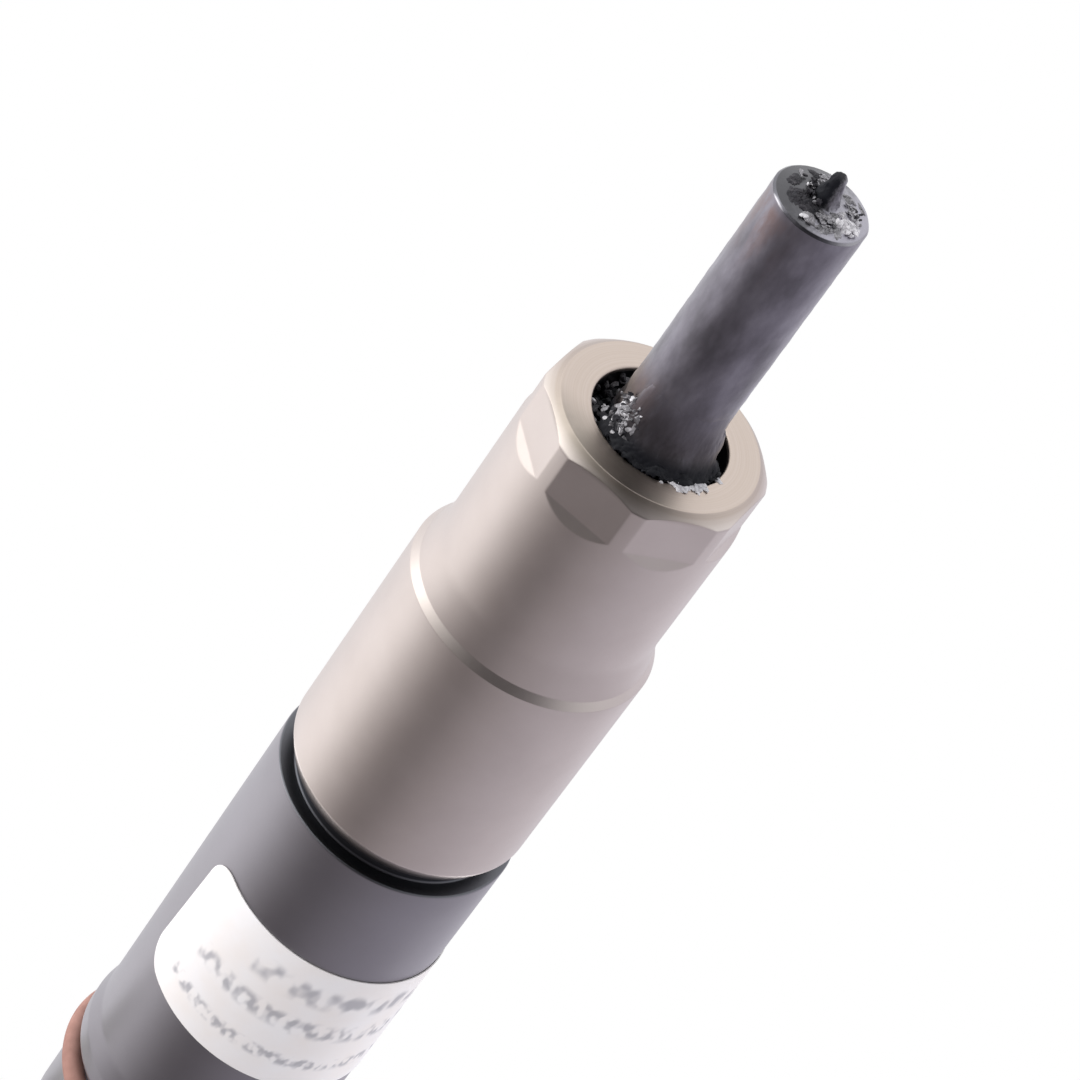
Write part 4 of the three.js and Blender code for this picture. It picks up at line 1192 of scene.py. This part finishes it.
def make_union():
    corner = UNION_HALF_WIDTH / math.cos(math.pi / 6)
    outline = rounded([
        (2.25, UNION_LOW.x),
        (5.4, UNION_LOW.x, 0.3),
        (5.4, BOSS_X),
        (8.6, BOSS_X),
        (corner, BOSS_X + 0.9),
        (corner, 25.1),
        (8.6, 26.0),
        (6.2, 26.0, 0.3),
        (6.2, 27.4),
        (7.0, UNION_THREAD_X),
        (7.0, UNION_HIGH.x - 0.9),
        (6.1, UNION_HIGH.x, 0.1),
        (4.6, UNION_HIGH.x, 0.15),
        (1.3, UNION_HIGH.x - 5.7, 0.2),
        (1.3, 25.5),
        (2.25, 25.5),
        (2.25, UNION_LOW.x),
    ])

    def shape(phi, r, z):
        if r > 7.3:
            return softer_min(r, flats(phi, UNION_HALF_WIDTH, 6, 90), 0.03)
        if UNION_THREAD_X <= z <= UNION_HIGH.x and r > 6.3:
            return r - thread(phi, z, 1.5, 0.85, UNION_THREAD_X, UNION_HIGH.x - 0.4)
        return r

    outline = divided(divided(outline, 0.11, BOSS_X - 0.01, UNION_HIGH.x), 1.5)
    turned("inlet_stud", outline, "zinc_steel", ["inlet_union"], columns=240, shape=shape, crease=30,
           place=ALONG_X)


# ---- stage, light and camera ----

FLOOR_Z = -1.0  # metres; the injector hangs nozzle down, so the floor is well below its tip
FLOOR_R = 4.0

# phi, brightness, and red and blue as shares of green, for light from above and from below
UPPER_LIGHT = (
    (-180, 0.82, 1.0, 1.04),
    (-150, 0.75, 1.03, 1.10),
    (-110, 0.53, 1.05, 1.12),
    (-60, 0.41, 1.06, 1.12),
    (-20, 0.29, 1.08, 1.08),
    (10, 0.145, 1.10, 1.06),
    (30, 0.185, 1.10, 1.04),
    (55, 0.48, 1.06, 1.02),
    (80, 1.0, 1.03, 1.02),
    (95, 1.08, 1.03, 1.02),
    (130, 0.93, 1.02, 1.04),
    (180, 0.82, 1.0, 1.04),
)
LOWER_LIGHT = (
    (-180, 1.2, 1.0, 1.02),
    (-105, 0.85, 1.0, 1.03),
    (-85, 0.62, 1.0, 1.04),
    (-68, 0.44, 1.02, 1.05),
    (-52, 0.19, 1.04, 1.06),
    (-35, 0.07, 1.06, 1.04),
    (-8, 0.07, 1.06, 1.04),
    (15, 0.1, 1.06, 1.04),
    (38, 0.28, 1.04, 1.02),
    (55, 0.7, 1.02, 1.0),
    (72, 1.35, 1.02, 1.0),
    (90, 2.6, 1.0, 1.0),
    (115, 1.25, 1.0, 1.0),
    (180, 1.2, 1.0, 1.02),
)
BACKLIGHT = (3.2, 3.2, 3.25, 1)


def make_floor():
    angles = [math.pi * k / 48 for k in range(96)]
    ring = [(FLOOR_R * math.cos(a), FLOOR_R * math.sin(a), FLOOR_Z) for a in angles]
    mesh = bpy.data.meshes.new("floor")
    mesh.from_pydata(ring, [], [tuple(range(96))])
    floor = placed("floor", mesh)
    recipe = Recipe("floor_paint", Roughness=0.8, Specular_IOR_Level=0.2)
    shades = [(0.3, (0.905, 0.905, 0.91)), (0.7, (0.915, 0.915, 0.92))]
    recipe.set(Base_Color=recipe.ramp(recipe.noise(0.01, 3.0), shades))
    mesh.materials.append(recipe.material)
    floor.visible_glossy = False
    floor.visible_diffuse = False


def make_world():
    """A white studio that is darker towards -Y: its brightness follows the compass angle."""
    world = bpy.data.worlds.new("studio")
    bpy.context.scene.world = world
    world.use_nodes = True
    tree = world.node_tree
    tree.nodes.clear()

    def add(kind, inputs=None, output=0, **settings):
        return add_node(tree, kind, inputs, **settings).outputs[output]

    def level(value, low, high, **settings):
        inputs = {"Value": value, "From Min": low, "From Max": high}
        return add("ShaderNodeMapRange", inputs, **settings)

    def mix(factor, a, b):
        return add("ShaderNodeMix", {0: factor, 6: a, 7: b}, 2, data_type="RGBA")

    def compass_ramp(stops):
        ramp = add_node(tree, "ShaderNodeValToRGB", {0: share})
        elements = ramp.color_ramp.elements
        while len(elements) < len(stops):
            elements.new(0.5)
        for element, (angle, bright, red, blue) in zip(elements, stops):
            element.position = (angle + 180) / 360
            element.color = (bright * red, bright, bright * blue, 1)
        return ramp.outputs[0]

    axis = add_node(tree, "ShaderNodeSeparateXYZ", {0: add("ShaderNodeTexCoord")}).outputs
    back = add("ShaderNodeMath", {0: axis[1], 1: -1.0}, operation="MULTIPLY")
    compass = add("ShaderNodeMath", {0: axis[0], 1: back}, operation="ARCTAN2")
    share = level(compass, -math.pi, math.pi)
    upper = compass_ramp(UPPER_LIGHT)
    lower = compass_ramp(LOWER_LIGHT)
    sides = mix(level(axis[2], -0.35, 0.05, interpolation_type="SMOOTHSTEP"), lower, upper)
    top = level(axis[2], 0.76, 0.84)
    behind = level(axis[1], 0.2, 0.4)
    backlight = add("ShaderNodeMath", {0: top, 1: behind}, operation="MULTIPLY")
    lit = mix(backlight, sides, BACKLIGHT)
    color = mix(add("ShaderNodeLightPath"), lit, (1, 1, 1, 1))
    add_node(tree, "ShaderNodeOutputWorld", {0: add("ShaderNodeBackground", {0: color, 1: 1.0})})


def make_light(name, direction, distance, size, watts):
    """A soft square light that looks at the retaining nut. Polished parts don't mirror it."""
    light = bpy.data.lights.new(name, "AREA")
    light.size = size
    light.energy = watts
    made = placed(name, light)
    aim = Vector((0, 0, 0.02))
    made.location = aim + Vector(direction).normalized() * distance
    made.rotation_euler = (aim - made.location).to_track_quat("-Z", "Y").to_euler()
    made.visible_glossy = False


CAMERA_PLACE = Vector((0.0, -0.24642, -0.18997))
CAMERA_AIM = Vector((0.00688, 0.77008, 0.63791))
CAMERA_ROLL = 144.48  # degrees clockwise, so that the nozzle points up to the right
LENS = 155.4
SENSOR = 36.0


def make_camera():
    camera = bpy.data.cameras.new("camera")
    camera.lens = LENS
    camera.sensor_width = SENSOR
    camera.clip_start = 0.01
    made = placed("camera", camera)
    roll = Matrix.Rotation(math.radians(-CAMERA_ROLL), 3, "Z")
    turn = CAMERA_AIM.to_track_quat("-Z", "Y").to_matrix() @ roll
    made.matrix_world = Matrix.Translation(CAMERA_PLACE) @ turn.to_4x4()
    bpy.context.scene.camera = made


# ---- put it together ----

def dress_cad_nodes():
    """Gives every CAD node its slot's material. The pieces made after it replace the outer nodes."""
    slots = {part["node"]: part["material_slot"] for part in frame["record"]["subparts"]}
    for node, slot in slots.items():
        shown = frame["nodes"][node]
        shown.data.materials.clear()
        shown.data.materials.append(MATERIALS[slot])


make_camera()
make_world()
make_light("overhead", (0.0, 0.2, 1.0), 1.6, 1.4, 30.0)
make_light("right_fill", (-1.0, -0.4, 0.0), 0.8, 0.6, 3.0)
make_light("left_fill", (1.0, -0.6, 0.0), 0.8, 0.6, 5.0)
make_floor()
dress_cad_nodes()
make_nozzle()
make_soot_ring()
make_flakes()
make_nut()
make_holder_stem()
make_holder_head()
make_label()
seal_ring("body_seal", "body_seal_ring", "brown_elastomer")
seal_ring("leak_off_seal", "leak_off_seal_ring", "black_elastomer", 96)
make_solenoid_housing()
make_cap_nut()
make_connector()
make_terminals()
make_spigot()
make_union()
make_spring("nozzle_coil", "nozzle_spring", 2.8, 1.0, 6)
make_spring("armature_coil", "armature_spring", 1.5, 0.45, 7)

bpy.context.scene.view_settings.view_transform = "Standard"
